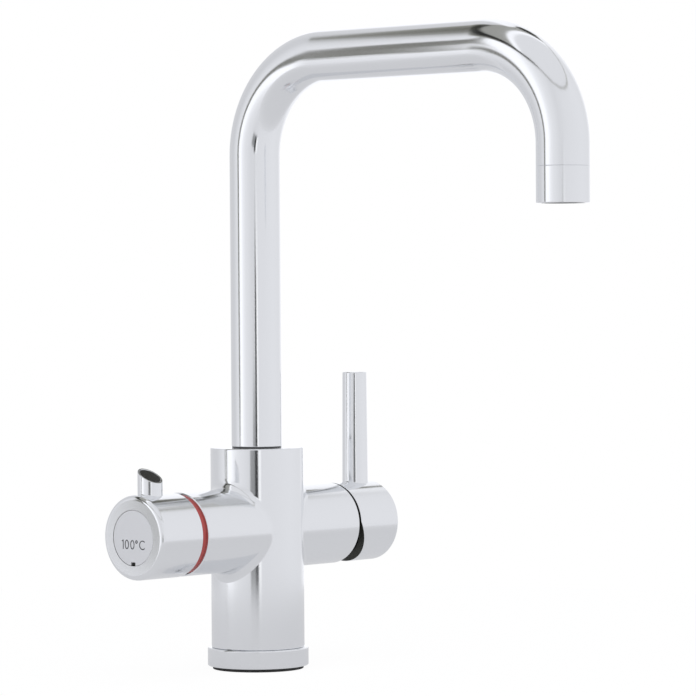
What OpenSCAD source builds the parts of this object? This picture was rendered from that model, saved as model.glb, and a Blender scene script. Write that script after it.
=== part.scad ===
// Three-way kitchen tap for hot, cold and boiling water.
// Frame: origin on the worktop at the middle of the base, +Z up, the handles lie along X
// with the boiling knob at -X, and the spout points to the front, -Y.

/* [Body] */
// Diameter of the upright barrel
body_d = 51.7; // [49:0.1:56]
// Height of the barrel's flat top above the worktop
body_top = 123; // [118:0.5:140]
// Height of the handle axis above the worktop
axis_h = 77.8; // [70:0.1:82]
// Diameter of the two side arms
arm_d = 45.7; // [44.5:0.1:48]
// Distance from the tap's axis to the end of the boiling arm
left_arm = 62.5; // [58:0.5:75]
// Distance from the tap's axis to the end of the mixer arm
right_arm = 60.4; // [60.2:0.2:75]
// Radius of the fillet that blends each arm into the barrel
blend_r = 6; // [3:0.5:8]
// Chamfer on the casting's outer edges
body_chamfer = 0.6; // [0.2:0.1:1]

/* [Base] */
// Outer diameter of the base ring
ring_d = 56.1; // [54:0.1:64]
// Height of the base ring's top face, which carries the barrel
ring_top = 12; // [10:0.1:20]
// Gap under the base ring that the gasket fills
ring_gap = 1.8; // [1:0.1:2.6]
// Outer diameter of the black base gasket
gasket_d = 50.6; // [49:0.1:53]
// Inner diameter of the base gasket
gasket_bore = 42.6; // [40:0.1:44]
// Diameter of the casting's foot inside the base ring
foot_d = 48; // [46:0.1:48.6]
// Height of the casting's underside above the worktop
foot_gap = 2; // [1.8:0.1:2.2]

/* [Supply ports] */
// Diameter of the three threaded supply ports
port_d = 10; // [8:0.1:10]
// Depth of the supply ports
port_depth = 14; // [10:0.5:18]
// Distance of the hot and cold ports from the tap's axis, along X and along Y
port_xy = 8; // [7:0.1:9]
// Distance of the boiling port from the tap's axis
boiling_port_x = 11; // [9:0.1:13]
// Diameter of the two threaded stud holes
stud_d = 6; // [5:0.1:8]
// Depth of the stud holes
stud_depth = 18; // [12:0.5:24]
// Distance of the stud holes from the tap's axis
stud_y = 17; // [16.5:0.1:19]
// Diameter of the waterways inside the casting
duct_d = 7; // [5:0.1:7]

/* [Spout] */
// Outer diameter of the spout tube and its outlet sleeve
tube_d = 28; // [27.8:0.1:29]
// Wall of the spout tube
tube_wall = 1.5; // [1:0.1:1.5]
// Distance from the riser's axis to the outlet's axis
spout_reach = 218; // [150:1:260]
// Height of the level run's centreline above the worktop
spout_h = 338; // [300:1:400]
// Centreline radius of the two bends
bend_r = 53; // [30:0.5:60]
// Straight length of the drop between its bend and the outlet sleeve
drop_l = 11.6; // [10:0.1:60]
// Length of the outlet sleeve
sleeve_l = 19.1; // [17:0.1:24]
// Diameter of the sleeve's open mouth
mouth_d = 19.4; // [16:0.1:22]
// Outer diameter of the inner boiling-water tube
inner_d = 7; // [6:0.1:8]
// Wall of the inner tube
inner_wall = 1; // [0.8:0.1:1.5]
// Diameter of the bore that the spout's spigot turns in
spigot_bore = 24; // [22:0.1:24]
// Depth of that bore below the barrel's top
spigot_depth = 24; // [22:0.5:25]
// Thickness of the bush's flange, seen as a dark line under the riser
flange_t = 0.7; // [0.5:0.1:2]

/* [Boiling knob] */
// Outer diameter of the boiling knob
knob_d = 45.9; // [44.5:0.1:48]
// Length of the boiling knob along its axis
knob_l = 30.6; // [26:0.1:36]
// Rounding between the knob's side and its face
knob_round = 2.8; // [0.5:0.1:3]
// Gap between knob and arm in which the red ring shows
ring_slot = 4.3; // [3.5:0.1:6]
// How far the knob pushes in before it turns
push_travel = 2.5; // [1:0.1:3]
// Outer diameter of the red ring
red_d = 42.8; // [41:0.1:43]
// Diameter of the index disc in the knob's face
disc_d = 30; // [26:0.1:36]
// Thickness of the index disc
disc_t = 1.6; // [1:0.1:2]
// Width of the notch at the foot of the disc
notch_w = 3.2; // [2:0.1:5]
// Diameter of the grip post on the knob
post_d = 13.6; // [10:0.1:15]
// Distance of the post's axis from the knob's face
post_x = 13.3; // [9:0.1:14]
// Distance from the handle axis to the middle of the post's slanted top
post_h = 33; // [30:0.5:45]
// Slant of the post's top, facing the front
post_slant = 30; // [0:1:40]
// Width of the bright rim round the post's dark pad
pad_rim = 1.1; // [0.6:0.1:2]
// Thickness of the dark pad
pad_t = 1; // [0.6:0.1:2]

/* [Mixer handle] */
// Outer diameter of the mixer cap
cap_d = 45.3; // [45:0.1:48]
// Distance from the tap's axis to the cap's end face
cap_end = 93.8; // [92:0.1:110]
// Gap between the mixer arm and the cap
cap_gap = 1.7; // [0.5:0.05:2]
// Largest tilt of the lever
tilt_max = 25; // [10:1:25]
// Angle of the cap's cut-away lower back face
cut_angle = 23.3; // [23:0.1:32]
// Height above the handle axis at which the cut-away starts
cut_start = 1.2; // [0:0.1:4]
// Distance of the lever's axis from the tap's axis
lever_x = 82.2; // [80:0.1:84]
// Diameter of the lever at its foot
lever_d1 = 14.7; // [10:0.1:16]
// Diameter of the lever at its top
lever_d2 = 13.8; // [8:0.1:16]
// Distance from the handle axis to the lever's top
lever_l = 85.5; // [50:0.5:120]
// Width of the square stem that the cap sits on
stem_w = 8; // [6:0.1:8]

/* [Cartridges] */
// Diameter of the mixer cartridge
mix_cart_d = 35; // [33:0.1:35]
// Distance of the mixer cartridge's seat from the tap's axis
mix_seat = 22; // [20:0.1:24]
// Diameter of the mixer's retaining nut
mix_nut_d = 40; // [38:0.1:40.4]
// Diameter of the turning carrier
carrier_d = 18; // [16:0.1:18]
// Diameter of the pin that the stem tilts on
pin_d = 4; // [3:0.1:4]
// Thread diameter of the boiling cartridge
boil_cart_d = 20; // [18:0.1:20]
// Distance of the boiling cartridge's seat from the tap's axis
boil_seat = 34; // [31:0.1:36]
// Diameter of the boiling valve's spindle
spindle_d = 8; // [7:0.1:8]
// Width of the spindle's square end
square_w = 5.6; // [5:0.1:5.6]
// Wire diameter of the knob's return spring
wire_d = 1; // [0.6:0.1:1.2]
// Turns of the return spring
spring_turns = 5; // [3:1:6]

/* [Clearances] */
// Radial clearance of a turning fit
running = 0.05; // [0.02:0.01:0.1]
// Radial clearance of a screwed or slipped-in fit
fit = 0.1; // [0.05:0.01:0.3]
// Air between parts that move past each other without touching
air = 0.4; // [0.3:0.05:0.45]

/* [Hidden] */
$fn = 96;

// Overlap that lets a cut run clear of the face it starts from
eps = 0.1;

// Body and blend
body_r = body_d / 2;
arm_r = arm_d / 2;
saddle_edge = 1.2;
saddle_x = body_r + blend_r + saddle_edge;
saddle_z = arm_r + blend_r + saddle_edge;
inset = 0.01;
blend_around = 96;
blend_out = 4;
blend_arc = 5;

// Screws
screw_d = 5;
hex_w = 2.5;
hex_depth = 3;

// Spout
tube_bore = tube_d - 2 * tube_wall;
riser_foot = body_top + flange_t;
bush_wall = 1.2;
bush_l = 8;
spigot_d = spigot_bore - 2 * running;
spigot_web = 3;
spigot_wall = 3.2;
bush_inset = 0.3;
spigot_gap = 1;
spigot_seat = body_top - spigot_depth;
spigot_bottom = spigot_seat + spigot_gap;
spigot_up = 12;
o_ring_d = 2.4;
o_ring_up = 2.8;
o_ring_step = 3.9;
o_ring_z = [spigot_bottom + o_ring_up, spigot_bottom + o_ring_up + o_ring_step];
o_ring_play = 0.2;
groove_up = 11.4;
groove_z = spigot_bottom + groove_up;
groove_w = 3.4;
groove_depth = 1.4;
mixed_ports = 6;
mixed_port_d = 3.4;
mixed_port_r = 6.6;
screw_inset = 0.3;

// Outlet, measured from the mouth
outlet_top = spout_h - bend_r - drop_l;
outlet_h = outlet_top - sleeve_l;
lip_t = 2;
insert_t = 6;
seal_t = 1.6;
nipple_bore = 20;
nipple_up = 8;
seal_z = outlet_h + lip_t + insert_t;
nipple_z = seal_z + seal_t;
jets = 16;
jet_d = 1.3;
jet_rings = [5.4, 7.6];

// Boiling knob
knob_in = left_arm + ring_slot;
knob_end = knob_in + knob_l;
rim_wall = 1.15;
knob_wall = 3.4;
rim_l = 7;
face_t = 5;
boss_d = 17;
pocket_d = 9;
pocket_depth = 6.8;
web_t = 3;
head_d = 7;
head_t = 3.4;
shank_d = 4;
screw_grip = 8;
key_w = 3;
key_depth = 2;
pocket_floor = knob_end - disc_t - pocket_depth;
web_in = pocket_floor - web_t;
end_gap = 0.2;
spindle_end = web_in - push_travel - end_gap;
boss_depth = 6;
boss_in = knob_in + boss_depth;
boss_room = 1;
disc_step = 0.15;
notch_h = 1.9;
tenon_d = 8;
tenon_sink = 1;
rim_chamfer = 0.35;
pad_sink = 0.1;
red_tail = 6;
red_tail_d = 36;
red_bore = 30;
red_in = 0.25;

// Boiling cartridge
hex_flange = 25;
hex_flange_t = 5;
cart_thread_l = 19;
hex_x = boil_seat + cart_thread_l;
neck_d = 11;
neck_gap = 1.2;
neck_end = knob_in - neck_gap;
chamber_d = 16;
chamber_l = 14;
disc_r = 7.8;
disc_port_r = 2.3;
ceramic_t = 2;
film = 0.05;
thrust_t = 3;

// Mixer
pivot_depth = 5.4;
pivot_x = right_arm - pivot_depth;
nut_t = 6.6;
nut_recess = 0.6;
nut_out = right_arm - nut_recess;
nut_in = nut_out - nut_t;
carrier_back = 8;
carrier_in = pivot_x - carrier_back;
carrier_proud = 1.4;
carrier_out = right_arm + carrier_proud;
pin_short = 0.7;
dome_r = 19.6;
dome_recess = 0.2;
dome_in = right_arm - dome_recess;
cavity_r = dome_r + 2 * air;
cap_r = cap_d / 2;
cap_in = right_arm + cap_gap;
cap_wall = 2.8;
cap_rib = 1.5;
cap_boss_d = 17;
cap_chamfer = 0.8;
cap_rim_chamfer = 0.3;
cap_face_t = 3;
hollow_gap = 12;
slot_w = stem_w + 2 * air;
stem_tail = 6;
tail_room = 2;
stem_cover = 6;
stem_out = cap_end - stem_cover;
root_d = 8;
root_grip = 2.5;
root_in = cap_boss_d / 2 - root_grip;
root_up = 1;
seat_d = 9.6;
seat_bore = 5;
seat_t = 1.6;
seat_proud = 0.3;
spanner_slots = 4;
spanner_w = 4;
spanner_depth = 2;
spanner_r = carrier_d / 2 + 3;
cart_port_depth = 10;
cap_screw_inset = 2;
lever_chamfer = 0.5;

// Waterways
mixed_duct_z = 8;
mixed_riser_x = 8.2;
supply_duct_z = -4;
cross_duct_d = duct_d - 1;
drill_past = duct_d / 2;
valve_duct_d = 4.8;
valve_duct_z = disc_r / 2;
inner_sink = 7;
inner_foot = spigot_seat - inner_sink;

// Turns a shape built along +Z so that it runs along +X, or along -X
module along_x() rotate([0, 90, 0]) children();
module along_minus_x() rotate([0, -90, 0]) children();

// Places a shape on the handle axis
module on_axis() translate([0, 0, axis_h]) children();

// A tube or ring that stands on z = 0
module ring(d_out, d_in, h) {
    difference() {
        cylinder(d = d_out, h = h);
        translate([0, 0, -eps]) cylinder(d = d_in, h = h + 2 * eps);
    }
}

// A disc with a chamfer c1 at its foot and c2 at its top
module chamfered(d, h, c1, c2) {
    rotate_extrude()
        polygon([
            [0, 0], [d / 2 - c1, 0], [d / 2, c1],
            [d / 2, h - c2], [d / 2 - c2, h], [0, h]
        ]);
}

// A disc with a chamfer c at its foot and a rounding r at its top
module rounded_end(d, h, c, r) {
    rotate_extrude() {
        polygon([
            [0, 0], [d / 2 - c, 0], [d / 2, c],
            [d / 2, h - r], [d / 2 - r, h], [0, h]
        ]);
        translate([d / 2 - r, h - r]) circle(r = r, $fn = 32);
    }
}

// An O-ring of wire w whose outer diameter is d
module o_ring(d, w) {
    rotate_extrude()
        translate([(d - w) / 2, 0])
            circle(d = w, $fn = 32);
}

// A grub screw that points along -Y with its hexagon socket at y = 0
module grub_screw(l) {
    rotate([90, 0, 0])
        difference() {
            cylinder(d = screw_d, h = l, $fn = 48);
            translate([0, 0, -eps]) cylinder(d = hex_w / cos(30), h = hex_depth, $fn = 6);
        }
}

// ---- Blend between barrel and arms: a ball of radius blend_r rolls along both cylinders ----

// Middle of the ball where it touches the arm at the angle t round the arm's axis
function ball(t) =
    let (y = (arm_r + blend_r) * cos(t))
    [sqrt((body_r + blend_r) ^ 2 - y ^ 2), y, (arm_r + blend_r) * sin(t)];

// Unit vectors from the ball's middle to the barrel and to the arm
function to_barrel(t) = let (c = ball(t)) [-c.x, -c.y, 0] / (body_r + blend_r);
function to_arm(t) = [0, -cos(t), -sin(t)];

// A point of the fillet, u = 0 on the barrel and u = 1 on the arm
function fillet_point(t, u) =
    let (a = to_barrel(t), b = to_arm(t), w = acos(a * b))
    ball(t) + blend_r * (sin((1 - u) * w) * a + sin(u * w) * b) / sin(w);

// Outline of half the barrel, unrolled as [angle round the barrel, height]
function outline(t) =
    abs(cos(t)) > abs(sin(t)) - 1e-6
        ? [90 * sign(cos(t)), saddle_z * sin(t) / abs(cos(t))]
        : [90 * cos(t) / abs(sin(t)), saddle_z * sign(sin(t))];

// A point of the barrel between that outline, v = 0, and the fillet, v = 1
function barrel_point(t, v) =
    let (c = ball(t), a = outline(t) * (1 - v) + [atan2(c.y, c.x), c.z] * v)
    [body_r * cos(a.x), body_r * sin(a.x), a.y];

// One line of points from the outline, over the barrel and the fillet, to the arm's end
function blend_line(t) = [
    for (j = [0:blend_out - 1]) barrel_point(t, j / blend_out),
    for (j = [0:blend_arc]) fillet_point(t, j / blend_arc),
    [saddle_x, arm_r * cos(t), arm_r * sin(t)]
];
blend_rows = blend_out + blend_arc + 2;

// Index of a point, where the two halves share the points at their common edge
function on_seam(i) =
    let (t = 360 * i / blend_around)
    abs(cos(t)) > abs(sin(t)) - 1e-6;
function blend_index(side, i, row) =
    let (k = (i + blend_around) % blend_around)
    (side == 1 && row == 0 && on_seam(k) ? 0 : side * blend_around * blend_rows)
        + k * blend_rows + row;

// Barrel, arms and fillets where they meet, as one closed skin
module blend_core() {
    points = [
        for (side = [1, -1], i = [0:blend_around - 1])
            let (line = blend_line(360 * i / blend_around))
            for (p = line) [side * p.x, p.y, p.z]
    ];
    quads = [
        for (side = [0, 1], i = [0:blend_around - 1], row = [0:blend_rows - 2])
            let (
                a = blend_index(side, i, row),
                b = blend_index(side, i + 1, row),
                c = blend_index(side, i + 1, row + 1),
                d = blend_index(side, i, row + 1)
            )
            for (f = [[a, b, c], [a, c, d]]) side == 0 ? f : [f[2], f[1], f[0]]
    ];
    arm_ends = [
        [for (i = [0:blend_around - 1]) blend_index(0, i, blend_rows - 1)],
        [for (i = [blend_around - 1:-1:0]) blend_index(1, i, blend_rows - 1)]
    ];
    eighth = blend_around / 8;
    top = [
        for (i = [eighth:3 * eighth]) blend_index(0, i, 0),
        for (i = [3 * eighth - 1:-1:eighth + 1]) blend_index(1, i, 0)
    ];
    bottom = [
        for (i = [5 * eighth:7 * eighth]) blend_index(0, i, 0),
        for (i = [7 * eighth - 1:-1:5 * eighth + 1]) blend_index(1, i, 0)
    ];
    scale((body_r - inset) / body_r)
        polyhedron(
            points = points,
            faces = [
                for (f = concat(quads, arm_ends, [top, bottom]))
                    [for (k = [len(f) - 1:-1:0]) f[k]]
            ],
            convexity = 6
        );
}

// Waterways and ports drilled into the casting
module casting_ducts() {
    duct_bottom = foot_gap + port_depth - eps;
    for (s = [1, -1]) {
        translate([port_xy, s * port_xy, foot_gap - eps])
            cylinder(d = port_d, h = port_depth + eps);
        translate([port_xy, s * port_xy, duct_bottom])
            cylinder(d = duct_d, h = axis_h + supply_duct_z + drill_past - duct_bottom, $fn = 48);
        translate([port_xy, s * port_xy, axis_h + supply_duct_z])
            along_x() cylinder(d = cross_duct_d, h = mix_seat - port_xy + eps, $fn = 48);
        translate([0, s * stud_y, foot_gap - eps])
            cylinder(d = stud_d, h = stud_depth + eps, $fn = 48);
    }
    translate([mix_seat + eps, 0, axis_h + mixed_duct_z])
        along_minus_x() cylinder(d = duct_d, h = mix_seat - mixed_riser_x + eps, $fn = 48);
    translate([mixed_riser_x, 0, axis_h + mixed_duct_z])
        cylinder(d = cross_duct_d, h = spigot_seat - axis_h - mixed_duct_z + eps, $fn = 48);
    boiling_ducts(duct_bottom);
}

// The way of the boiling water: port, valve seat, and up to the foot of the inner tube
module boiling_ducts(duct_bottom) {
    translate([-boiling_port_x, 0, foot_gap - eps])
        cylinder(d = port_d, h = port_depth + eps);
    translate([-boiling_port_x, 0, duct_bottom])
        cylinder(d = duct_d, h = axis_h - valve_duct_z + drill_past - duct_bottom, $fn = 48);
    translate([-boiling_port_x, 0, axis_h - valve_duct_z])
        along_minus_x() cylinder(d = valve_duct_d, h = boil_seat - boiling_port_x + eps, $fn = 48);
    translate([0, 0, axis_h + valve_duct_z])
        along_minus_x() cylinder(d = valve_duct_d, h = boil_seat + eps, $fn = 48);
    translate([0, 0, axis_h + valve_duct_z - valve_duct_d / 2 - 1])
        cylinder(d = cross_duct_d, h = inner_foot - axis_h - valve_duct_z, $fn = 48);
    translate([0, 0, inner_foot - spigot_gap])
        cylinder(d = inner_d + 2 * running, h = spigot_seat - inner_foot + spigot_gap + eps, $fn = 48);
}

// Seats for the cartridges, the red ring, the spout and its screw
module casting_seats() {
    on_axis() {
        translate([mix_seat, 0, 0])
            along_x() cylinder(d = mix_cart_d + 2 * fit, h = right_arm);
        translate([nut_in, 0, 0])
            along_x() cylinder(d = mix_nut_d + 2 * fit, h = right_arm);
        translate([-boil_seat, 0, 0])
            along_minus_x() cylinder(d = boil_cart_d + 2 * fit, h = left_arm);
        translate([-hex_x, 0, 0])
            along_minus_x() cylinder(d = red_bore, h = left_arm);
        translate([red_tail - left_arm, 0, 0])
            along_minus_x() cylinder(d = red_tail_d + 2 * fit, h = left_arm);
    }
    translate([0, 0, spigot_seat])
        cylinder(d = spigot_bore, h = spigot_depth + eps);
    translate([0, 0, body_top - bush_l])
        cylinder(d = spigot_bore + 2 * bush_wall, h = bush_l + eps);
    translate([0, 0, groove_z])
        rotate([-90, 0, 0]) cylinder(d = screw_d, h = body_d, $fn = 48);
}

module body_casting() {
    color("gainsboro")
        difference() {
            union() {
                on_axis() blend_core();
                translate([0, 0, ring_top])
                    chamfered(body_d, axis_h - saddle_z - ring_top + eps, body_chamfer, 0);
                translate([0, 0, axis_h + saddle_z - eps])
                    chamfered(body_d, body_top - axis_h - saddle_z + eps, 0, body_chamfer);
                translate([0, 0, foot_gap])
                    cylinder(d = foot_d, h = ring_top - foot_gap + eps);
                on_axis() {
                    translate([saddle_x - eps, 0, 0])
                        along_x() chamfered(arm_d, right_arm - saddle_x + eps, 0, body_chamfer);
                    translate([eps - saddle_x, 0, 0])
                        along_minus_x() chamfered(arm_d, left_arm - saddle_x + eps, 0, body_chamfer);
                }
            }
            casting_ducts();
            casting_seats();
        }
}

// ---- Base ----

module base_ring() {
    edge = 0.8;
    color("silver")
        difference() {
            translate([0, 0, ring_gap])
                chamfered(ring_d, ring_top - ring_gap, edge, edge);
            translate([0, 0, ring_gap - eps])
                cylinder(d = foot_d + 2 * fit, h = ring_top);
            translate([0, 0, ring_gap - eps])
                cylinder(d = gasket_d + 2 * fit, h = foot_gap - ring_gap + eps);
        }
}

module base_gasket() {
    color("black")
        ring(gasket_d, gasket_bore, foot_gap);
}

// ---- Spout ----

// Sweeps a disc or ring, given as 2D children, along the spout's centreline
module spout_path(z_foot, z_end) {
    translate([0, 0, z_foot])
        linear_extrude(spout_h - bend_r - z_foot) children();
    translate([0, -bend_r, spout_h - bend_r])
        rotate([90, 0, 90])
            rotate_extrude(angle = 90) translate([bend_r, 0]) children();
    translate([0, bend_r - spout_reach, spout_h])
        rotate([-90, 0, 0])
            linear_extrude(spout_reach - 2 * bend_r) children();
    translate([0, bend_r - spout_reach, spout_h - bend_r])
        rotate([90, 0, -90])
            rotate_extrude(angle = 90) translate([bend_r, 0]) children();
    translate([0, -spout_reach, z_end])
        linear_extrude(spout_h - bend_r - z_end) children();
}

module spout_tube() {
    color("gainsboro")
        difference() {
            spout_path(riser_foot, outlet_top) circle(d = tube_d);
            spout_path(riser_foot - eps, outlet_top - eps) circle(d = tube_bore);
        }
}

module boiling_inner_tube() {
    mouth = outlet_h + lip_t;
    color("lightgray")
        difference() {
            spout_path(inner_foot, mouth) circle(d = inner_d, $fn = 48);
            spout_path(inner_foot - eps, mouth - eps)
                circle(d = inner_d - 2 * inner_wall, $fn = 48);
        }
}

module spout_bush() {
    color("dimgray")
        difference() {
            union() {
                translate([0, 0, body_top - bush_l])
                    cylinder(d = spigot_bore + 2 * bush_wall, h = bush_l + eps);
                translate([0, 0, body_top])
                    cylinder(d = tube_d - 2 * bush_inset, h = flange_t);
            }
            translate([0, 0, body_top - bush_l - eps])
                cylinder(d = spigot_bore, h = bush_l + flange_t + 2 * eps);
        }
}

module spout_grub_screw() {
    back = sqrt(body_r ^ 2 - (screw_d / 2) ^ 2) - screw_inset;
    tip = spigot_d / 2 - groove_depth + air;
    color("dimgray")
        translate([0, back, groove_z]) {
            grub_screw(back - spigot_bore / 2);
            translate([0, spigot_bore / 2 - back, 0])
                rotate([90, 0, 0])
                    cylinder(d = groove_w - 2 * air, h = spigot_bore / 2 - tip, $fn = 48);
        }
}

module spout_spigot() {
    bore = spigot_d - 2 * spigot_wall;
    o_groove = o_ring_d + o_ring_play;
    color("darkkhaki")
        difference() {
            union() {
                translate([0, 0, spigot_bottom])
                    cylinder(d = spigot_d, h = riser_foot - spigot_bottom + eps);
                translate([0, 0, riser_foot])
                    cylinder(d = tube_bore - 2 * running, h = spigot_up);
            }
            translate([0, 0, spigot_bottom + spigot_web])
                cylinder(d = bore, h = body_top);
            translate([0, 0, spigot_bottom - eps])
                cylinder(d = inner_d + 2 * running, h = body_top, $fn = 48);
            for (k = [0:mixed_ports - 1])
                rotate(k * 360 / mixed_ports)
                    translate([mixed_port_r, 0, spigot_bottom - eps])
                        cylinder(d = mixed_port_d, h = body_top, $fn = 48);
            for (z = o_ring_z)
                translate([0, 0, z - o_groove / 2])
                    ring(spigot_d + 1, spigot_d - 2 * o_ring_d - running, o_groove);
            translate([0, 0, groove_z - groove_w / 2])
                ring(spigot_d + 1, spigot_d - 2 * groove_depth, groove_w);
        }
}

module spout_o_rings() {
    color("black")
        for (z = o_ring_z)
            translate([0, 0, z]) o_ring(spigot_d, o_ring_d);
}

// ---- Outlet ----

module at_outlet() translate([0, -spout_reach, 0]) children();

module outlet_nipple() {
    color("darkkhaki")
        at_outlet()
            translate([0, 0, nipple_z])
                ring(tube_bore - 2 * running, nipple_bore, outlet_top - nipple_z + nipple_up);
}

module outlet_sleeve() {
    edge = 0.4;
    seam = 0.15;
    color("gainsboro")
        at_outlet()
            difference() {
                translate([0, 0, outlet_h])
                    chamfered(tube_d, sleeve_l, edge, seam);
                translate([0, 0, outlet_h - eps])
                    cylinder(d = mouth_d, h = sleeve_l);
                translate([0, 0, outlet_h + lip_t])
                    cylinder(d = tube_bore, h = sleeve_l);
            }
}

module aerator_insert() {
    color("dimgray")
        at_outlet()
            translate([0, 0, outlet_h + lip_t])
                difference() {
                    cylinder(d = tube_bore - 2 * fit, h = insert_t);
                    translate([0, 0, -eps])
                        cylinder(d = inner_d + 2 * running, h = insert_t + 2 * eps, $fn = 48);
                    for (r = jet_rings, k = [0:jets - 1])
                        rotate(k * 360 / jets)
                            translate([r, 0, -eps])
                                cylinder(d = jet_d, h = insert_t + 2 * eps, $fn = 16);
                }
}

module aerator_seal() {
    color("black")
        at_outlet()
            translate([0, 0, seal_z])
                ring(tube_bore - 2 * fit, nipple_bore, seal_t);
}

// ---- Boiling valve ----

module boiling_cartridge() {
    color("darkkhaki")
        on_axis()
            difference() {
                union() {
                    translate([-boil_seat, 0, 0])
                        along_minus_x() cylinder(d = boil_cart_d, h = cart_thread_l + eps);
                    translate([-hex_x, 0, 0])
                        along_minus_x() cylinder(d = hex_flange / cos(30), h = hex_flange_t, $fn = 6);
                    translate([-hex_x, 0, 0])
                        along_minus_x() cylinder(d = neck_d, h = neck_end - hex_x);
                }
                translate([eps - boil_seat, 0, 0])
                    along_minus_x() cylinder(d = chamber_d, h = chamber_l + eps);
                translate([-boil_seat, 0, 0])
                    along_minus_x() cylinder(d = spindle_d + 2 * running, h = knob_end);
            }
}

// A ceramic disc with two round ports, its face at distance x from the tap's axis
module ceramic_disc(x, turned) {
    on_axis()
        translate([-x, 0, 0])
            along_minus_x()
                difference() {
                    cylinder(r = disc_r, h = ceramic_t);
                    for (s = [1, -1])
                        rotate(turned)
                            translate([s * disc_r / 2, 0, -eps])
                                cylinder(r = disc_port_r, h = ceramic_t + 2 * eps, $fn = 48);
                }
}

module boiling_fixed_disc() {
    color("white") ceramic_disc(boil_seat, 0);
}

module boiling_turning_disc() {
    color("ivory") ceramic_disc(boil_seat + ceramic_t + film, 90);
}

module boiling_spindle() {
    thrust_x = boil_seat + 2 * ceramic_t + film;
    plain_end = boss_in - push_travel - air;
    color("darkkhaki")
        on_axis()
            difference() {
                union() {
                    translate([-thrust_x, 0, 0])
                        along_minus_x() cylinder(r = disc_r, h = thrust_t);
                    translate([-thrust_x, 0, 0])
                        along_minus_x() cylinder(d = spindle_d, h = plain_end - thrust_x);
                    translate([-spindle_end, -square_w / 2, -square_w / 2])
                        cube([spindle_end - plain_end + eps, square_w, square_w]);
                }
                translate([-spindle_end - eps, 0, 0])
                    along_x() cylinder(d = shank_d, h = screw_grip + 2 * eps, $fn = 48);
            }
}

module red_ring() {
    color("firebrick")
        on_axis()
            difference() {
                union() {
                    translate([-left_arm, 0, 0])
                        along_minus_x() cylinder(d = red_d, h = ring_slot - red_in);
                    translate([red_tail - left_arm, 0, 0])
                        along_minus_x() cylinder(d = red_tail_d, h = red_tail + eps);
                }
                translate([red_tail - left_arm + eps, 0, 0])
                    along_minus_x() cylinder(d = red_bore, h = red_tail + ring_slot + 2 * eps);
            }
}

// Points of a circle of wire round the spring's helix at the angle a
function coil_ring(a, pitch, r, w, n) = [
    for (k = [0:n - 1])
        let (b = 360 * k / n, q = r + w / 2 * cos(b))
        [q * cos(a), q * sin(a), pitch * a / 360 + w / 2 * sin(b)]
];

// Return spring between the cartridge's hexagon and the knob's boss
module knob_spring() {
    sides = 8;
    steps = 24;
    foot = hex_x + hex_flange_t;
    length = boss_in - foot;
    pitch = (length - wire_d) / spring_turns;
    mean_r = neck_d / 2 + air + wire_d / 2;
    rings = steps * spring_turns;
    points = [
        for (i = [0:rings])
            for (p = coil_ring(i * 360 / steps, pitch, mean_r, wire_d, sides)) p
    ];
    walls = [
        for (i = [0:rings - 1], k = [0:sides - 1])
            let (
                a = i * sides + k,
                b = i * sides + (k + 1) % sides
            )
            for (f = [[a, a + sides, b], [b, a + sides, b + sides]]) f
    ];
    ends = [
        [for (k = [0:sides - 1]) k],
        [for (k = [sides - 1:-1:0]) rings * sides + k]
    ];
    color("slategray")
        on_axis()
            translate([-foot - wire_d / 2, 0, 0])
                along_minus_x()
                    polyhedron(points = points, faces = concat(walls, ends), convexity = 10);
}

module knob_screw() {
    shank_l = pocket_floor + screw_grip - spindle_end;
    color("slategray")
        on_axis()
            difference() {
                union() {
                    translate([-pocket_floor, 0, 0])
                        along_minus_x() cylinder(d = head_d, h = head_t);
                    translate([screw_grip - spindle_end, 0, 0])
                        along_minus_x()
                            cylinder(d = shank_d, h = shank_l + eps, $fn = 48);
                }
                translate([-pocket_floor - head_t - eps, 0, 0])
                    along_x() cylinder(d = key_w / cos(30), h = key_depth + eps, $fn = 6);
            }
}

// ---- Boiling knob ----

module boiling_knob() {
    wall_in = knob_in + rim_l;
    color("gainsboro")
        on_axis()
            difference() {
                translate([-knob_in, 0, 0])
                    along_minus_x() rounded_end(knob_d, knob_l, rim_chamfer, knob_round);
                translate([eps - knob_in, 0, 0])
                    along_minus_x() cylinder(d = knob_d - 2 * rim_wall, h = rim_l + eps);
                translate([-wall_in + eps, 0, 0])
                    along_minus_x()
                        ring(knob_d - 2 * knob_wall, boss_d, knob_l - rim_l - face_t + eps);
                translate([eps - knob_in, 0, 0])
                    along_minus_x()
                        ring(knob_d - 2 * knob_wall, boss_d, rim_l + eps);
                translate([eps - knob_in, 0, 0])
                    along_minus_x() cylinder(d = boss_d + boss_room, h = boss_depth + eps);
                translate([-web_in, -square_w / 2 - fit, -square_w / 2 - fit])
                    cube([web_in - knob_in + eps, square_w + 2 * fit, square_w + 2 * fit]);
                translate([-web_in + eps, 0, 0])
                    along_minus_x() cylinder(d = shank_d + 2 * fit, h = knob_l, $fn = 48);
                translate([-pocket_floor, 0, 0])
                    along_minus_x() cylinder(d = pocket_d, h = knob_l);
                translate([disc_t + disc_step - knob_end, 0, 0])
                    along_minus_x() cylinder(d = disc_d + 2 * fit, h = knob_l);
                translate([post_x - knob_end, 0, knob_d / 2 - knob_wall - tenon_sink])
                    cylinder(d = tenon_d, h = knob_d, $fn = 48);
            }
}

module index_disc() {
    color("lightgray")
        on_axis()
            difference() {
                translate([disc_t + disc_step - knob_end, 0, 0])
                    along_minus_x() cylinder(d = disc_d, h = disc_t);
                translate([-knob_end - disc_t, -notch_w / 2, -disc_d / 2 - eps])
                    cube([3 * disc_t, notch_w, notch_h + eps]);
            }
}

// Half space above the post's slanted top, moved down along the slant's normal by the depth
module above_slant(depth) {
    translate([0, 0, post_h])
        rotate([post_slant, 0, 0])
            translate([-post_d, -2 * post_d, -depth])
                cube([2 * post_d, 4 * post_d, 2 * post_d]);
}

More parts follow.
